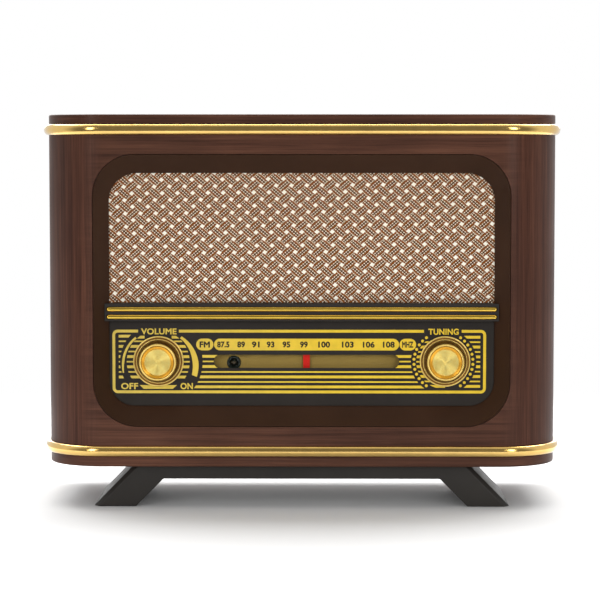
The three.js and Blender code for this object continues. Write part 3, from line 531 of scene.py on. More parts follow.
FINISHES = {
    "wood_veneer": wood_finish("wood_veneer", banded=True),
    "bezel_brown": plastic_finish("bezel_brown", linear(54, 34, 22), 0.5, 500, 0.05,
                                  Specular_IOR_Level=0.15),
    "gold_trim": gold_finish("gold_trim", linear(248, 205, 112), 0.16, Coat_Weight=1.0,
                             Coat_Roughness=0.12),
    "gold_knob": gold_finish("gold_knob", linear(252, 218, 122), 0.2, metallic=0.4),
    "grille_cloth": cloth_base_finish(),
    "black_plastic": plastic_finish("black_plastic", linear(42, 39, 36), 0.42, Specular_IOR_Level=0.25),
    "dial_black": plastic_finish("dial_black", linear(42, 38, 35), 0.55, 1800, 0.04,
                                 Specular_IOR_Level=0.15),
    "dial_tan": plastic_finish("dial_tan", linear(150, 126, 66), 0.8, 2200, 0.05, Specular_IOR_Level=0.1),
    "pointer_red": plastic_finish("pointer_red", linear(204, 34, 24), 0.5, Specular_IOR_Level=0.15),
    "clear_plastic": clear_finish(),
    "lamp_plastic": lamp_finish(),
    "steel": metal_finish("steel", (0.56, 0.56, 0.55), 0.35),
    "magnet_grey": plastic_finish("magnet_grey", (0.07, 0.07, 0.075), 0.6, 900, 0.2),
    "fibre_board": fibre_finish(),
    "paper_cone": plastic_finish("paper_cone", (0.02, 0.019, 0.018), 0.85, 500, 0.5),
    "circuit_board": plastic_finish("circuit_board", linear(28, 72, 44), 0.45, 600, 0.1),
    "cord_white": plastic_finish("cord_white", linear(214, 206, 186), 0.8, 2500, 0.4),
    "rubber": plastic_finish("rubber", (0.016, 0.016, 0.016), 0.85, 1200, 0.25),
    "chrome": metal_finish("chrome", (0.8, 0.8, 0.81), 0.14, (4, 80, 80), 8),
}
ROD_GOLD = gold_finish("rod_gold", linear(246, 206, 88), 0.14)
CAP_GOLD = gold_finish("cap_gold", linear(244, 178, 52), 0.24, metallic=0.6)
# A darker copy of the knob gold for the knurled grip and the milled flange: painted shade and painted dark
# reflection, not the brass's own colour
GRIP_GOLD_PAINTED_SHADE = gold_finish("grip_gold_painted_shade", linear(126, 88, 42), 0.3)
BOARD_WOOD = wood_finish("board_veneer", banded=False)

# ------------------------------------------------------------------ mesh tools


def steps(a, b, count):
    return [a + (b - a) * i / count for i in range(count + 1)]


def arc(x, z, r, start, end, count=CORNER_STEPS):
    """Points on an arc, with its angles in degrees."""
    return [(x + r * math.cos(math.radians(a)), z + r * math.sin(math.radians(a)))
            for a in steps(start, end, count)]


def circle(x, z, r, count):
    return arc(x, z, r, 0, 360, count)[:-1]


def node_box(node):
    """A CAD node's lowest and highest corners, in millimetres from the cabinet's front face."""
    return [Vector((p.x / MM, (p.y - FRONT_Y) / MM, p.z / MM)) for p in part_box(node)]


def rounded_rect(x0, x1, z0, z1, top, bottom, count=16):
    """Anticlockwise from the bottom right corner. A corner with no radius is one point."""
    corners = [(x1, z0, bottom, -90, -1, 1), (x1, z1, top, 0, -1, -1),
               (x0, z1, top, 90, 1, -1), (x0, z0, bottom, 180, 1, 1)]
    points = []
    for x, z, r, start, inward_x, inward_z in corners:
        if r > 0:
            points += arc(x + inward_x * r, z + inward_z * r, r, start, start + 90, count)
        else:
            points.append((x, z))
    return points


def framed(f, grow=0.0, count=16):
    return rounded_rect(-f["half"] - grow, f["half"] + grow, f["z0"] - grow, f["z1"] + grow,
                        f["top"] + grow, f["bottom"] + grow, count)


def stadium(x, z, half, r, count=16):
    return rounded_rect(x - half, x + half, z - r, z + r, r * 0.999, r * 0.999, count)


def plan_outline(half, front, back, radius):
    """The cabinet from above: round corners at the front and square ones at the back."""
    return ([(half, back), (-half, back)]
            + arc(-half + radius, front + radius, radius, 180, 270)
            + arc(half - radius, front + radius, radius, 270, 360))


class Shape:
    """Points and faces, in millimetres from the cabinet's front face."""

    def __init__(self):
        self.points = []
        self.faces = []
        self.uvs = []

    def add(self, points, faces):
        start = len(self.points)
        self.points += points
        self.faces += [tuple(start + i for i in face) for face in faces]
        return self

    def loft(self, rings, closed=False, capped=True):
        """Quads between rings of equal length. With closed, the last ring joins the first."""
        count = len(rings[0])
        faces = []
        pairs = [(k, k + 1) for k in range(len(rings) - 1)]
        if closed:
            pairs.append((len(rings) - 1, 0))
        for a, b in pairs:
            for i in range(count):
                j = (i + 1) % count
                faces.append((a * count + i, a * count + j, b * count + j, b * count + i))
        if capped and not closed:
            faces.append(tuple(reversed(range(count))))
            faces.append(tuple(range((len(rings) - 1) * count, len(rings) * count)))
        return self.add([p for ring in rings for p in ring], faces)

    def prism_y(self, outline, y0, y1):
        return self.loft([[(x, y, z) for x, z in outline] for y in (y0, y1)])

    def prism_z(self, outline, z0, z1):
        return self.loft([[(x, y, z) for x, y in outline] for z in (z0, z1)])

    def box(self, x0, x1, y0, y1, z0, z1):
        return self.prism_z([(x0, y0), (x1, y0), (x1, y1), (x0, y1)], z0, z1)

    def lathe(self, profile, centre, axis="Y", count=48, wave=None):
        """Turns a closed outline of (radius, place along the axis), which wave can move at each step."""
        rings = []
        for k in range(count):
            angle = 2 * math.pi * k / count
            ring = []
            for r, along in profile:
                reach, place = wave(r, along, k) if wave else (r, along)
                u, v = reach * math.cos(angle), reach * math.sin(angle)
                offset = {"X": (place, u, v), "Y": (u, place, v), "Z": (u, v, place)}[axis]
                ring.append(tuple(c + o for c, o in zip(centre, offset)))
            rings.append(ring)
        return self.loft(rings, closed=True)

    def mesh(self, name):
        mesh = bpy.data.meshes.new(name)
        mesh.from_pydata([at(*p) for p in self.points], [], self.faces)
        tidy = bmesh.new()
        tidy.from_mesh(mesh)
        bmesh.ops.remove_doubles(tidy, verts=tidy.verts, dist=1e-7)
        bmesh.ops.recalc_face_normals(tidy, faces=tidy.faces)
        tidy.to_mesh(mesh)
        tidy.free()
        return mesh


def temporary(shape):
    thing = bpy.data.objects.new("temporary", shape.mesh("temporary"))
    bpy.context.scene.collection.objects.link(thing)
    return thing


def worked(name, shape, cutters=(), bevel=0.0, segments=3, angle=30):
    """The shape's mesh with the cutters taken away and its edges rounded."""
    block = temporary(shape)
    tools = [temporary(cutter) for cutter in cutters]
    for tool in tools:
        cutting = block.modifiers.new("cut", "BOOLEAN")
        cutting.operation = "DIFFERENCE"
        cutting.solver = "EXACT"
        cutting.object = tool
    if bevel:
        rounding = block.modifiers.new("bevel", "BEVEL")
        rounding.width = bevel * MM
        rounding.segments = segments
        rounding.limit_method = "ANGLE"
        rounding.angle_limit = math.radians(angle)
    bpy.context.view_layer.update()
    evaluated = block.evaluated_get(bpy.context.evaluated_depsgraph_get())
    mesh = bpy.data.meshes.new_from_object(evaluated)
    mesh.name = name
    for thing in (block, *tools):
        data = thing.data
        bpy.data.objects.remove(thing)
        bpy.data.meshes.remove(data)
    return mesh


def piece(name, made, slot, body="case", replaced=(), material=None, sharp=32, flat_faces=False):
    """A finished piece from a Shape or a mesh, riding on its body. flat_faces keeps broad faces flat."""
    mesh = made.mesh(name) if isinstance(made, Shape) else made
    mesh.materials.clear()
    mesh.materials.append(material or FINISHES[slot])
    mesh.shade_smooth()
    mesh.set_sharp_from_angle(angle=math.radians(sharp))
    thing = bpy.data.objects.new(name, mesh)
    bpy.context.scene.collection.objects.link(thing)
    if flat_faces:
        weighting = thing.modifiers.new("weighted", "WEIGHTED_NORMAL")
        weighting.keep_sharp = True
        weighting.weight = 100
    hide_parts(*replaced)
    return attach(thing, body)


# ------------------------------------------------------------------ cabinet


def make_cabinet():
    outside = Shape().prism_z(plan_outline(HALF_WIDTH, 0, SHELL_BACK, CORNER_R), *SHELL_Z)
    inside = Shape().prism_z(
        plan_outline(HALF_WIDTH - WALL, FRONT_WALL, SHELL_BACK + 5, 8), SHELL_Z[0] - 5, SHELL_Z[1] + 5)
    opening = Shape().prism_y(framed(OPENING, count=FRAME_STEPS), -5, FRONT_WALL + 5)
    shell = worked("cabinet_shell_veneer", outside, (inside, opening), bevel=0.7)
    piece("cabinet_shell_veneer", shell, "wood_veneer", replaced=("cabinet_shell",), flat_faces=True)
    boards = {"top_board": TOP_BOARD_Z, "base_board": BASE_BOARD_Z}
    for node, heights in boards.items():
        slab = Shape().prism_z(plan_outline(HALF_WIDTH, 0, DEPTH, CORNER_R), *heights)
        piece(node + "_veneer", worked(node, slab, bevel=0.9, segments=4), "wood_veneer",
              replaced=(node,), material=BOARD_WOOD, flat_faces=True)


def band_path():
    """(x, y, outward x, outward y) along the cabinet's outline, from its left rear to its right rear."""
    reach = HALF_WIDTH - CORNER_R
    path = [(-HALF_WIDTH, y, -1.0, 0.0) for y in steps(SHELL_BACK, CORNER_R, 6)[:-1]]
    for side, start in ((-1, 180), (1, 270)):
        for a in steps(start, start + 90, CORNER_STEPS):
            out = (math.cos(math.radians(a)), math.sin(math.radians(a)))
            path.append((side * reach + CORNER_R * out[0], CORNER_R + CORNER_R * out[1], *out))
    path += [(HALF_WIDTH, y, 1.0, 0.0) for y in steps(CORNER_R, SHELL_BACK, 6)[1:]]
    return path


def make_trims():
    for node, middle in (("trim_top", TRIM_TOP_Z), ("trim_bottom", TRIM_BOTTOM_Z)):
        section = [(TRIM_SEAT, TRIM_HALF), (TRIM_SEAT, -TRIM_HALF)]
        rim = TRIM_SEAT + TRIM_EDGE
        for a in steps(-90, 90, 20):
            section.append((rim + (TRIM_PROUD - rim) * math.cos(math.radians(a)),
                            TRIM_HALF * math.sin(math.radians(a))))
        rings = [[(x + out * nx, y + out * ny, middle + z) for out, z in section]
                 for x, y, nx, ny in band_path()]
        piece(node + "_band", Shape().loft(rings), "gold_trim", replaced=(node,))


def make_bezel():
    """The lining of the recess: it slopes from the opening's edge back to a thin lip."""
    edge = framed(OPENING, -0.5, FRAME_STEPS)
    lip = framed(RECESS, 0, FRAME_STEPS)
    outer = framed(OPENING, -0.3, FRAME_STEPS)
    front = BEZEL_Y[0] + 0.1
    rings = [[(x, BEZEL_Y[1], z) for x, z in outer], [(x, 1.1, z) for x, z in outer]]
    rings.append([(x, front, z) for x, z in framed(OPENING, -0.35, FRAME_STEPS)])
    for t in steps(0, 1, 14):
        y = front + (RECESS_Y - front) * t + BEZEL_SAG * math.sin(math.pi * t)
        rings.append([(a[0] + (b[0] - a[0]) * t, y, a[1] + (b[1] - a[1]) * t) for a, b in zip(edge, lip)])
    rings.append([(x, BEZEL_Y[1], z) for x, z in lip])
    piece("recess_bezel_lining", Shape().loft(rings, closed=True), "bezel_brown",
          replaced=("recess_bezel",), sharp=50)


def make_divider():
    slope = (OPENING["half"] - RECESS["half"]) / RECESS_Y
    half = RECESS["half"] - 0.3
    front = half + slope * (RECESS_Y - BAR_FRONT)
    plan = [(-half, DIAL_Y[1]), (-half, RECESS_Y), (-front, BAR_FRONT),
            (front, BAR_FRONT), (half, RECESS_Y), (half, DIAL_Y[1])]
    bar = worked("divider_bar_moulding", Shape().prism_z(plan, *BAR_Z), bevel=0.4)
    piece("divider_bar_moulding", bar, "black_plastic", replaced=("divider_bar",), flat_faces=True)
    reach = RECESS["half"] + 1.6 - ROD_R
    for place, z in ROD_ZS.items():
        rings = []
        for x in [-reach - ROD_R * c for c in (0.995, 0.9, 0.6, 0.25)] + steps(-reach, reach, 24):
            cap = max(0.0, (-reach - x) / ROD_R)
            r = ROD_R * math.sqrt(1 - cap * cap)
            rings.append([(x, ROD_Y - r * math.sin(math.radians(a)), z + r * math.cos(math.radians(a)))
                          for a in steps(0, 180, 16)])
        rings += [[(-x, y, z1) for x, y, z1 in rings[i]] for i in (3, 2, 1, 0)]
        piece(f"gold_rod_{place}_polished", Shape().loft(rings), "gold_trim",
              replaced=(f"gold_rod_{place}",), material=ROD_GOLD, sharp=50)


# ------------------------------------------------------------------ grille cloth


class Yarns:
    """Half-round threads lying on the cloth, one mesh for each kind of yarn."""

    def __init__(self):
        self.kinds = {}

    def lay(self, kind, middle, along, half_length, half_width, rise, sink):
        """A thread through middle. rise is how far its middle stands off the ground, sink its ends."""
        inside = clipped(middle, along, half_length)
        if not inside:
            return
        start, end = inside
        across = Vector((-along.y, along.x))
        shape, lengths = self.kinds.setdefault(kind, (Shape(), []))
        rings = []
        for t in steps(start, end, YARN_STEPS):
            share = t / half_length
            lift = sink + (rise - sink) * (1 - share * share)
            centre = middle + along * t
            for a in YARN_ANGLES:
                w = half_width * math.cos(math.radians(a))
                up = half_width * YARN_HEIGHT * math.sin(math.radians(a))
                p = centre + across * w
                rings.append((p.x, CLOTH_BASE_Y - lift - up, p.y))
                lengths.append((t, w))
        n = len(YARN_ANGLES)
        faces = [(k * n + i, k * n + i + 1, (k + 1) * n + i + 1, (k + 1) * n + i)
                 for k in range(YARN_STEPS) for i in range(n - 1)]
        shape.add(rings, faces)


def clipped(middle, along, reach):
    """The part of a thread, as a range of lengths from its middle, that lies on the cloth."""
    low, high = -reach, reach
    bounds = ((middle.x, along.x, -CLOTH_HALF, CLOTH_HALF), (middle.y, along.y, *CLOTH_Z))
    for place, slope, least, most in bounds:
        if abs(slope) < 1e-9:
            if not least <= place <= most:
                return None
            continue
        a, b = sorted(((least - place) / slope, (most - place) / slope))
        low, high = max(low, a), min(high, b)
    return (low, high) if high - low > 0.15 else None


def make_cloth():
    outline = rounded_rect(-CLOTH_HALF, CLOTH_HALF, *CLOTH_Z, RECESS["top"] + 1.6, 0)
    sheet_shape = Shape().add([(x, CLOTH_BASE_Y, z) for x, z in outline], [tuple(range(len(outline)))])
    sheet = piece("grille_cloth_ground", sheet_shape, "grille_cloth", replaced=("grille_cloth",))
    up_right = Vector((WEAVE_ACROSS.x / 2, abs(WEAVE_DOWN.y))).normalized()
    down_right = Vector((up_right.x, -up_right.y))
    yarns = Yarns()
    chance = random.Random(11)
    for row in range(-7, 16):
        lean, other = (down_right, up_right) if row % 2 == 0 else (up_right, down_right)
        for column in range(-8, 30):
            square = WEAVE_START + WEAVE_DOWN * row + WEAVE_ACROSS * column
            if row > 1:
                square += WEAVE_ACROSS * (row // 2)
            crossing = square + WEAVE_ACROSS / 2
            if abs(crossing.x) < CLOTH_HALF + 4:
                lay_bundle(yarns, crossing, lean, other, chance)
            if abs(square.x) < CLOTH_HALF + 3:
                lay_square(yarns, square, up_right, down_right)
    finishes = {
        "brown": thread_finish("yarn_brown", linear(158, 92, 40), linear(118, 62, 22)),
        "dotted": thread_finish("yarn_dotted", linear(255, 250, 236), linear(232, 218, 190), 1.5,
                                linear(124, 74, 34)),
        "dark": thread_finish("yarn_dark", linear(120, 74, 36), linear(78, 46, 20), 1.5,
                              linear(72, 42, 20)),
        "white": thread_finish("yarn_white", linear(255, 254, 246), linear(240, 234, 216)),
        "speckled": thread_finish("yarn_speckled", linear(255, 250, 234), linear(228, 212, 184), 0.9,
                                  linear(176, 138, 92)),
    }
    for kind, (shape, lengths) in yarns.kinds.items():
        mesh = bpy.data.meshes.new(f"grille_yarn_{kind}")
        mesh.from_pydata([at(*p) for p in shape.points], [], shape.faces)
        layer = mesh.uv_layers.new(name="UVMap")
        for loop in mesh.loops:
            layer.data[loop.index].uv = lengths[loop.vertex_index]
        piece(f"grille_yarn_{kind}", mesh, "grille_cloth", material=finishes[kind],
                             sharp=80)


def lay_bundle(yarns, crossing, lean, other, chance):
    """Five threads side by side over the crossing, with a pale thread across each end."""
    across = Vector((-lean.y, lean.x))
    for offset, half_width, kind in BUNDLE_THREADS:
        shift = lean * chance.uniform(-0.12, 0.12)
        middle = crossing + across * (offset + chance.uniform(-0.03, 0.03)) + shift
        yarns.lay(kind, middle, lean, BUNDLE_HALF, half_width, 0.42, 0.1)
    for end in (-1, 1):
        yarns.lay("speckled", crossing + lean * (end * BAR_OFFSET), other, 2.0, 0.21, 0.42, 0.34)


def lay_square(yarns, square, up_right, down_right):
    """Two white threads over two, between the bundles."""
    for i, j in ((-1, -1), (-1, 1), (1, -1), (1, 1)):
        middle = square + up_right * (0.52 * i) + down_right * (0.52 * j)
        along = up_right if i == j else down_right
        yarns.lay("white", middle, along, 0.62, 0.5, 0.4, 0.26)


# ------------------------------------------------------------------ dial


def circle_x(centre, r, z, side):
    """Where the circle is at height z, on its left (-1) or right (1), or None beyond it."""
    gap = r * r - (z - centre[1]) ** 2
    return centre[0] + side * math.sqrt(gap) if gap > 0 else None


def circle_edge(centre, side, r):
    """Where bars stop against a circle, as a function of their height."""
    return lambda z: circle_x(centre, r, z, side)


def straight_edge(x):
    return lambda z: x


def bar_between(left, right, z, half):
    """A printed bar round height z, with its ends where left(z) and right(z) say."""
    ends = [(h, left(h), right(h)) for h in steps(z - half, z + half, 4)]
    ends = [(h, a, b) for h, a, b in ends if a is not None and b is not None and b - a > 0.15]
    if len(ends) < 2:
        return []
    return [(b, h) for h, a, b in ends] + [(a, h) for h, a, b in reversed(ends)]


def ladder_bars(centre, low, high, left, right, pitch):
    """Bars one pitch apart, thick and thin by turns."""
    return [bar_between(left, right, centre[1] + i * pitch, THICK if i % 2 else THIN)
            for i in range(low, high + 1)]


def crescent(centre, angles, inner, outer, count=24):
    """A band between two radii that change from its top to its bottom, each given at three angles."""

    def radius(values, t):
        a, b, c = values
        return a + (b - a) * min(1, t * 2) + (c - b) * max(0, t * 2 - 1)

    points = []
    for values, order in ((outer, steps(0, 1, count)), (inner, steps(1, 0, count))):
        for t in order:
            angle = math.radians(radius(angles, t))
            r = radius(values, t)
            points.append((centre[0] + r * math.cos(angle), centre[1] + r * math.sin(angle)))
    return points


def frame_lines():
    """The printed frame as pairs of outer and inner lines, with gaps for the two words."""

    def around(inset):
        """From the right word's gap clockwise to the left word's."""
        f, r = PRINT_FRAME, max(0.6, PRINT_FRAME["r"] - inset)
        ring = rounded_rect(f["x0"] + inset, f["x1"] - inset, f["z0"] + inset, f["z1"] - inset, r, r, 10)
        half = len(ring) // 2
        top = f["z1"] - inset
        return [(TUNING_GAP[1], top), *reversed(ring[:half]), *reversed(ring[half:]), (VOLUME_GAP[0], top)]

    def between(inset):
        return [(x, PRINT_FRAME["z1"] - inset) for x in (VOLUME_GAP[1], TUNING_GAP[0])]

    return [(line(0), line(PRINT_FRAME["width"])) for line in (around, between)]


def print_line(ink, outer, inner):
    """A raised line on the dial between an outer and an inner edge, open at the back."""
    n = len(outer)
    points = [(x, y, z) for y in (INK_Y, DIAL_Y[0]) for line in (outer, inner) for x, z in line]
    faces = []
    for i in range(n - 1):
        for a, b in ((0, 1), (0, 2), (1, 3)):
            faces.append((a * n + i, a * n + i + 1, b * n + i + 1, b * n + i))
    for i in (0, n - 1):
        faces.append((i, n + i, 3 * n + i, 2 * n + i))
    ink.add(points, faces)


def volume_marks():
    """Bars to both sides of the volume knob, a ladder at the frame and two crescents."""
    left, right = (circle_edge(VOLUME_C, side, VOLUME_BARS_R) for side in (-1, 1))
    behind_left, behind_right = (straight_edge(VOLUME_C[0] + side * KNOB_BEHIND) for side in (-1, 1))
    marks = ladder_bars(VOLUME_C, -3, 4, left, behind_left, VOLUME_PITCH)
    marks += ladder_bars(VOLUME_C, -3, 4, behind_right, right, VOLUME_PITCH)
    marks.append(bar_between(left, behind_left, 99.7, THICK))
    marks.append(bar_between(behind_right, right, 99.7, THICK))
    marks += ladder_bars(VOLUME_C, -3, 5, straight_edge(-107.6), circle_edge(VOLUME_C, -1, 22.5),
                         VOLUME_PITCH)
    marks.append(crescent(VOLUME_C, (132.6, 180, 197.7), (18.6, 19.9, 21.1), (19.9, 21.3, 21.9)))
    marks.append(crescent(VOLUME_C, (47.4, 0, -21.5), (18.9, 20.2, 21.2), (20.4, 23.7, 24.4)))
    marks.append([(-95.3, 71.4), (-93.0, 69.2), (-75.8, 69.2), (-73.4, 71.4)])
    return marks


def tuning_marks():
    """Dots round the tuning knob, a ladder at the frame and bars that the knob mostly hides."""
    marks = ladder_bars(TUNING_C, -5, 5, circle_edge(TUNING_C, 1, 19.4), straight_edge(104.9), TUNING_PITCH)
    marks += ladder_bars(TUNING_C, -5, 4, circle_edge(TUNING_C, -1, 15.9), straight_edge(TUNING_C[0] + 1.0),
                         TUNING_PITCH)
    step = 2 * DOTS["top"] / (DOTS["count"] - 1)
    for k in range(DOTS["count"]):
        for side in (0, 180):
            angle = math.radians(side + DOTS["top"] - k * step)
            marks.append(circle(TUNING_C[0] + DOTS["ring"] * math.cos(angle),
                                TUNING_C[1] + DOTS["ring"] * math.sin(angle), DOTS["r"], 12))
    return marks


def window_stripes():
    """Stripes beside and under the window."""
    start = circle_edge(VOLUME_C, 1, STRIPE_START_R)
    window = {side: circle_edge((WINDOW["x"] + side * (WINDOW["half"] - WINDOW["r"]), WINDOW["z"]), side,
                                WINDOW["r"] + 0.25) for side in (-1, 1)}
    marks = []
    for z, half in ((WINDOW["z"] + 3.0, THICK), (WINDOW["z"], THIN), (WINDOW["z"] - 3.0, THICK)):
        marks.append(bar_between(start, window[-1], z, half))
        marks.append(bar_between(window[1], circle_edge(TUNING_C, -1, 19.2), z, half))
    for z, half in STRIPES:
        marks.append(bar_between(start, circle_edge(TUNING_C, -1, 19.3), z, half))
    return marks


def make_print():
    ink = Shape()
    for outer, inner in frame_lines():
        print_line(ink, outer, inner)
    pills = [stadium((left + right) / 2, SCALE_Z, (right - left) / 2, 3.45) for left, right in SCALE_PILLS]
    for outline in volume_marks() + tuning_marks() + window_stripes() + pills:
        if outline:
            ink.prism_y(outline, INK_Y, DIAL_Y[0])
    gold = print_finish()
    piece("dial_print", ink, "gold_trim", material=gold)
    for text, x, z, width, height in WORDS:
        lettering(f"print_{text.lower()}", text, x, z, width, height, DIAL_Y[0], gold, "gold_trim")
    for text, x, width in SCALE:
        name = "scale_" + text.lower().replace(".", "_")
        lettering(name, text, x, SCALE_Z, width, 3.6, INK_Y, FINISHES["dial_black"], "dial_black", 0.04)


def lettering(name, text, x, z, width, height, plane, material, slot, bold=0.032):
    """Raised letters centred at x, z on the plane y = plane, scaled to width and height."""
    font = bpy.data.curves.new(name, "FONT")
    font.body = text
    font.bevel_depth = bold
    font.bevel_resolution = 0
    font.space_character = 1.05
    font.extrude = 0.01
    source = bpy.data.objects.new(name, font)
    bpy.context.scene.collection.objects.link(source)
    bpy.context.view_layer.update()
    mesh = bpy.data.meshes.new_from_object(source.evaluated_get(bpy.context.evaluated_depsgraph_get()))
    bpy.data.objects.remove(source)
    bpy.data.curves.remove(font)
    xs = [v.co.x for v in mesh.vertices]
    zs = [v.co.y for v in mesh.vertices]
    across = width / (max(xs) - min(xs))
    up = height / (max(zs) - min(zs))
    for v in mesh.vertices:
        depth = plane - (PRINT_THICK if v.co.z > 0 else 0)
        v.co = at(x + (v.co.x - (min(xs) + max(xs)) / 2) * across, depth,
                  z + (v.co.y - (min(zs) + max(zs)) / 2) * up)
    return piece(name, mesh, slot, material=material)


def make_dial():
    outline = rounded_rect(-CLOTH_HALF, CLOTH_HALF, *DIAL_Z, 0, 16.4, 20)
    holes = [Shape().prism_y(stadium(WINDOW["x"], WINDOW["z"], WINDOW["half"], WINDOW["r"]),
                             DIAL_Y[0] - 5, DIAL_Y[1] + 5)]
    for side in (-1, 1):
        holes.append(Shape().prism_y(circle(side * KNOB_X, KNOB_Z, SHAFT_HOLE, 36),
                                     DIAL_Y[0] - 5, DIAL_Y[1] + 5))
    plate = worked("dial_plate_face", Shape().prism_y(outline, *DIAL_Y), holes, bevel=0.15, segments=2)
    piece("dial_plate_face", plate, "dial_black", replaced=("dial_plate",), flat_faces=True)
    back = Shape().box(WINDOW["x"] - BACKPLATE["half"], WINDOW["x"] + BACKPLATE["half"],
                       *BACKPLATE["y"], *BACKPLATE["z"])
    hole = Shape().prism_y(circle(*LAMP, LAMP_HOLE, 48), 10, 30)
    piece("dial_backplate_tan", worked("dial_backplate_tan", back, (hole,)), "dial_tan",
          replaced=("dial_backplate",), flat_faces=True)
    make_lamp()
    make_pointer()


def make_lamp():
    holder = [(2.4, 18.9), (2.7, 18.5), (3.7, 18.5), (4.0, 18.8), (4.0, 24), (2.4, 24)]
    piece("lamp_holder_ring", Shape().lathe(holder, (LAMP[0], 0, LAMP[1])), "black_plastic",
          replaced=("lamp_holder",), material=plastic_finish("lamp_ring", linear(22, 32, 25), 0.3))
    bulb = [(0, 18.3)] + [(2.15 * math.sin(math.radians(a)), 20.4 - 2.1 * math.cos(math.radians(a)))
                          for a in steps(10, 90, 10)] + [(2.15, 27), (0, 27)]
    piece("dial_lamp_lens", Shape().lathe(bulb, (LAMP[0], 0, LAMP[1])), "lamp_plastic",
          replaced=("dial_lamp",))


def make_pointer():
    """A blade in front of the tan plate, and an arm that reaches back over the plate's top edge."""
    sides = (WINDOW["x"] - POINTER_HALF, WINDOW["x"] + POINTER_HALF)
    low = WINDOW["z"] - WINDOW["r"] - 1
    outline = [(sides[0], low), (sides[1], low), (sides[1], POINTER_TOP), (sides[0], POINTER_TOP)]
    blade = Shape().prism_y(outline, 16.5, 17.5)
    piece("pointer_blade", worked("pointer_blade", blade, bevel=0.2, segments=2), "pointer_red",
          "pointer_slide", replaced=("pointer",), flat_faces=True)
    arm = Shape().box(*sides, 17.4, 29.7, 95.3, POINTER_TOP)
    piece("pointer_arm", worked("pointer_arm", arm, bevel=0.2, segments=2), "pointer_red", "pointer_slide")


# ------------------------------------------------------------------ knobs


def dished(radius, edge, depth, count=8):
    """A hollow face from its edge in to the middle, as (radius, y)."""
    return [(radius * (1 - t), edge + depth * (1 - (1 - t) ** 2)) for t in steps(0, 1, count)]


def make_knob(kind, side, body):
    """A milled flange with two bright rings, a knurled grip, a rim, and a cap with a spun face."""
    centre = (side * KNOB_X, 0, KNOB_Z)

    def toothed(k):
        return k % KNURL_STEPS < KNURL_STEPS / 2

    def knurled(r, along, k):
        on_wall = 4.2 <= along <= 9.3 and r > 10.8
        return r + (0.14 if toothed(k) else -0.14) * on_wall, along

    def milled(r, along, k):
        on_face = 13.1 <= r <= 13.8 and along < 12
        return r, along + (0.3 if toothed(k) else 0.0) * on_face

    def turned(name, profile, count=128, wave=None, **looks):
        piece(f"{kind}_knob_{name}", Shape().lathe(profile, centre, count=count, wave=wave), "gold_knob",
              body, **looks)

    # The flange and the grip take the darkened gold, which paints their shade and dark reflection
    turned("flange", [(3.1, 12.4), (14.7, 12.4), (14.7, 11.7), (13.9, 11.3), (13.1, 11.1), (12.4, 11.4),
                      (3.1, 11.4)],
           KNOB_STEPS, milled, replaced=(f"{kind}_knob",), material=GRIP_GOLD_PAINTED_SHADE, sharp=40)
    turned("outer_ring", [(14.0, 11.8), (14.05, 11.1), (14.2, 10.98), (14.7, 10.98), (14.85, 11.15),
                          (14.85, 12.2)], sharp=60)
    turned("inner_ring", [(12.5, 11.5), (12.55, 10.9), (12.65, 10.82), (12.95, 10.82), (13.05, 10.9),
                          (13.1, 11.5)], sharp=60)
    turned("grip", [(3.1, 11.5), (12.4, 11.5), (12.4, 9.3), (12.2, 8.3), (11.6, 6.0), (11.1, 4.2),
                    (10.7, 3.9), (9.7, 3.9), (9.7, 5.0), (3.1, 5.0)],
           KNOB_STEPS, knurled, material=GRIP_GOLD_PAINTED_SHADE, sharp=40)
    turned("rim", [(9.7, 5.0), (10.66, 5.0), (10.95, 4.2), (10.75, 3.55), (10.45, 3.15), (10.15, 3.0),
                   (9.85, 3.06), (9.7, 3.3)], sharp=60)
    turned("cap_bevel", [(9.4, 4.7), (9.4, 3.35), (9.2, 3.2), (8.9, 3.3), (8.0, 3.95), (7.75, 4.05),
                         (7.75, 4.7)], replaced=(f"{kind}_knob_cap",), material=CAP_GOLD)
    turned("face", [(0, 4.6), (7.72, 4.6), (7.72, 4.0), *dished(7.6, 3.92, 0.24)[:-1],
                    (0.62, 4.24), (0.45, 4.22), (0.3, 4.08), (0, 4.05)],
           material=spun_finish(f"spun_{kind}", centre[0], centre[2]))


# ------------------------------------------------------------------ foot bracket


def make_bracket():
    arch = (FOOT_ARCH, FOOT_ARCH_Z)
    right = [(FOOT_INNER, FOOT["floor"]), (FOOT_OUTER, FOOT["floor"]), (FOOT_TOP, FOOT["top"])]
    left = [(-x, z) for x, z in reversed(right)]
    outline = [arch, *right, *left, (-arch[0], arch[1])]
    back = FOOT["front"] + FOOT["depth"]
    cutters = []
    for side in (-1, 1):
        x, y = side * BRACKET_SCREW[0], BRACKET_SCREW[1]
        cutters.append(Shape().prism_z(circle(x, y, 3.3, 24), FOOT_ARCH_Z - 4, FOOT_ARCH_Z + 2.2))
        pad_x = sorted((side * (FOOT_INNER + 2), side * (FOOT_OUTER - 2)))
        cutters.append(Shape().box(*pad_x, FOOT["front"] + 4, back - 4, -1, 1.5))

    def drawn_in(x):
        """A point of the legs at the very front, moved inwards by the chamfer."""
        return math.copysign(abs(x) - FOOT_CHAMFER, x) if abs(x) > FOOT_INNER else x

    shape = Shape().loft([[(drawn_in(x), FOOT["front"], z) for x, z in outline],
                          [(x, FOOT["front"] + FOOT_CHAMFER, z) for x, z in outline],
                          [(x, back, z) for x, z in outline]])
    mesh = worked("foot_bracket_moulding", shape, cutters, bevel=0.8, segments=3, angle=25)
    piece("foot_bracket_moulding", mesh, "black_plastic", replaced=("foot_bracket",), flat_faces=True)
    for side in ("left", "right"):
        make_foot_fittings(f"foot_pad_{side}", f"bracket_screw_{side}")


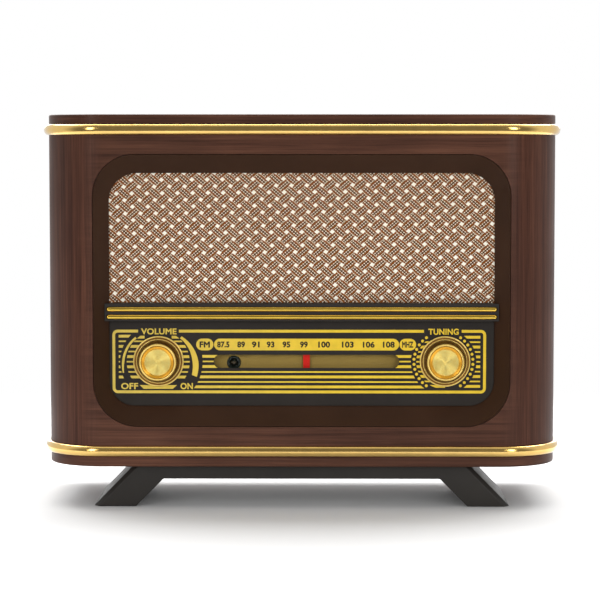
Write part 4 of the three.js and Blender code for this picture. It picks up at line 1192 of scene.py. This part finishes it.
def make_foot_fittings(pad, screw):
    low, high = node_box(pad)
    block = Shape().box(low.x, high.x, low.y, high.y, 0, 1.2)
    piece(pad + "_rubber", worked(pad, block, bevel=0.35), "rubber", replaced=(pad,), flat_faces=True)
    low, high = node_box(screw)
    head = [(0, low.z), (2.2, low.z), (2.8, low.z + 0.5), (3.0, low.z + 1.2), (3.0, low.z + 2),
            (1.4, low.z + 2), (1.4, high.z), (0, high.z)]
    centre = ((low.x + high.x) / 2, BRACKET_SCREW[1], 0)
    piece(screw + "_turned", cross_slotted(screw, head, centre, "Z", low.z), "steel",
          replaced=(screw,), sharp=30)


def cross_slotted(name, profile, centre, axis, face):
    """A screw with a cross recess in the face of its head."""
    slots = []
    x, y, z = centre
    for long, short in ((1.7, 0.35), (0.35, 1.7)):
        if axis == "Z":
            slots.append(Shape().box(x - long, x + long, y - short, y + short, face - 1, face + 0.8))
        else:
            slots.append(Shape().box(x - long, x + long, face - 0.8, face + 1, z - short, z + short))
    return worked(name, Shape().lathe(profile, centre, axis, 32), slots)


# ------------------------------------------------------------------ rear


def make_rear_screws():
    for side, sign in (("left", -1), ("right", 1)):
        for height in ("low", "high"):
            node = f"rear_screw_{side}_{height}"
            low, high = node_box(node)
            front, back = low.y, high.y
            seat = back - 1.8
            profile = [(0, back), (1.6, back), (2.5, back - 0.35), (2.95, back - 1.0), (3.0, seat),
                       (1.4, seat), (1.4, front), (0, front)]
            centre = (sign * REAR_SCREWS["x"], 0, REAR_SCREWS[height])
            piece(node + "_turned", cross_slotted(node, profile, centre, "Y", back), "steel",
                  replaced=(node,), sharp=30)


def make_aerial():
    x, y, z = AERIAL
    ear = 5.4
    knuckle = 3.4
    disc = [(0, DEPTH + 0.3), (8.7, DEPTH + 0.3), (9.0, DEPTH + 0.6), (9.0, DEPTH + 3.2),
            (8.6, DEPTH + 3.6), (0, DEPTH + 3.6)]
    neck = [(0, DEPTH - 9), (3.6, DEPTH - 9), (3.6, DEPTH + 0.6), (0, DEPTH + 0.6)]
    turret = Shape().lathe(disc, (x, 0, z), count=64)
    turret.lathe(neck, (x, 0, z), count=32)
    for side in (-1, 1):
        z0, z1 = sorted((z + side * (knuckle + 0.3), z + side * ear))
        plan = [(x + 3.5, DEPTH + 3)] + arc(x, y, 3.5, 0, 180, 24) + [(x - 3.5, DEPTH + 3)]
        turret.prism_z(plan, z0, z1)
    turret.lathe([(0, -ear), (1.4, -ear), (1.4, ear), (0, ear)], (x, y, z), "Z", 24)
    piece("aerial_base_chromed", turret, "chrome", "aerial_turret", replaced=("aerial_base",))
    low, high = node_box("aerial_nut")
    nut = Shape().prism_y(circle(x, z, 6, 6), low.y, high.y)
    bore = Shape().prism_y(circle(x, z, 3.7, 32), 100, 120)
    piece("aerial_nut_faced", worked("aerial_nut_faced", nut, (bore,), bevel=0.3),
          "steel", "aerial_turret", replaced=("aerial_nut",), flat_faces=True)
    mast = Shape()
    mast.lathe([(0, -knuckle), (3.4, -knuckle), (3.4, knuckle), (0, knuckle)], (x, y, z), "Z", 40)
    tube(mast, 3.5, 3.05, -150, -3)
    piece("aerial_mast_chromed", mast, "chrome", "aerial_arm", replaced=("aerial_mast",), sharp=40)
    sections = (("aerial_section_1", "aerial_inner_1", 2.9, -152.5),
                ("aerial_section_2", "aerial_inner_2", 2.3, -155.0))
    for node, body, r, end in sections:
        section = Shape()
        tube(section, r, r - 0.45, end, -8)
        piece(node + "_chromed", section, "chrome", body, replaced=(node,), sharp=40)
    tip = [(0, -160.5), (1.9, -160.5), (2.6, -160.1), (2.9, -159.4), (2.9, -158.2), (2.6, -157.6),
           (1.7, -157.5), (1.7, -8), (0, -8)]
    piece("aerial_tip_chromed", Shape().lathe(tip, (x, y, z), "X", 40), "chrome", "aerial_inner_3",
          replaced=("aerial_tip",))


def tube(shape, outer, inner, end, start):
    """A chromed tube along -X from the aerial's pivot, with its open end turned in a little."""
    x, y, z = AERIAL
    profile = [(outer, start), (outer, end + 0.5), (outer - 0.15, end + 0.1), (outer - 0.35, end),
               (inner, end), (inner, start)]
    shape.lathe(profile, (x, y, z), "X", 40)


# ------------------------------------------------------------------ what the CAD already shows


CARRIED = {
    "fibre_board": ("sub_front_board", "rear_cover"),
    "clear_plastic": ("dial_window",),
    "steel": ("volume_shaft", "tuning_spindle", "volume_potentiometer", "tuning_bushing", "pointer_rail",
              "dial_chassis", "tuning_capacitor", "capacitor_rotor", "mains_transformer",
              *(f"speaker_screw_{i}" for i in (1, 2, 3, 4))),
    "black_plastic": ("cord_drum", "idler_pulley", "pointer_carriage", "speaker_basket", "mains_inlet"),
    "cord_white": ("dial_cord",),
    "paper_cone": ("speaker_cone",),
    "magnet_grey": ("speaker_magnet",),
    "circuit_board": ("main_board",),
}


def finish_cad_nodes():
    """The CAD nodes that stay visible each take the finish they are listed under."""
    for finish, names in CARRIED.items():
        for name in names:
            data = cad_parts[name].data
            data.materials.clear()
            data.materials.append(FINISHES[finish])


# ------------------------------------------------------------------ assembly

scene = bpy.context.scene
scene.view_settings.view_transform = "Standard"
make_camera()
make_world()
make_floor()
make_lights()
make_cabinet()
make_trims()
make_bezel()
make_divider()
make_cloth()
make_dial()
make_print()
make_knob("volume", -1, "volume_dial")
make_knob("tuning", 1, "tuning_dial")
make_bracket()
make_rear_screws()
make_aerial()
finish_cad_nodes()
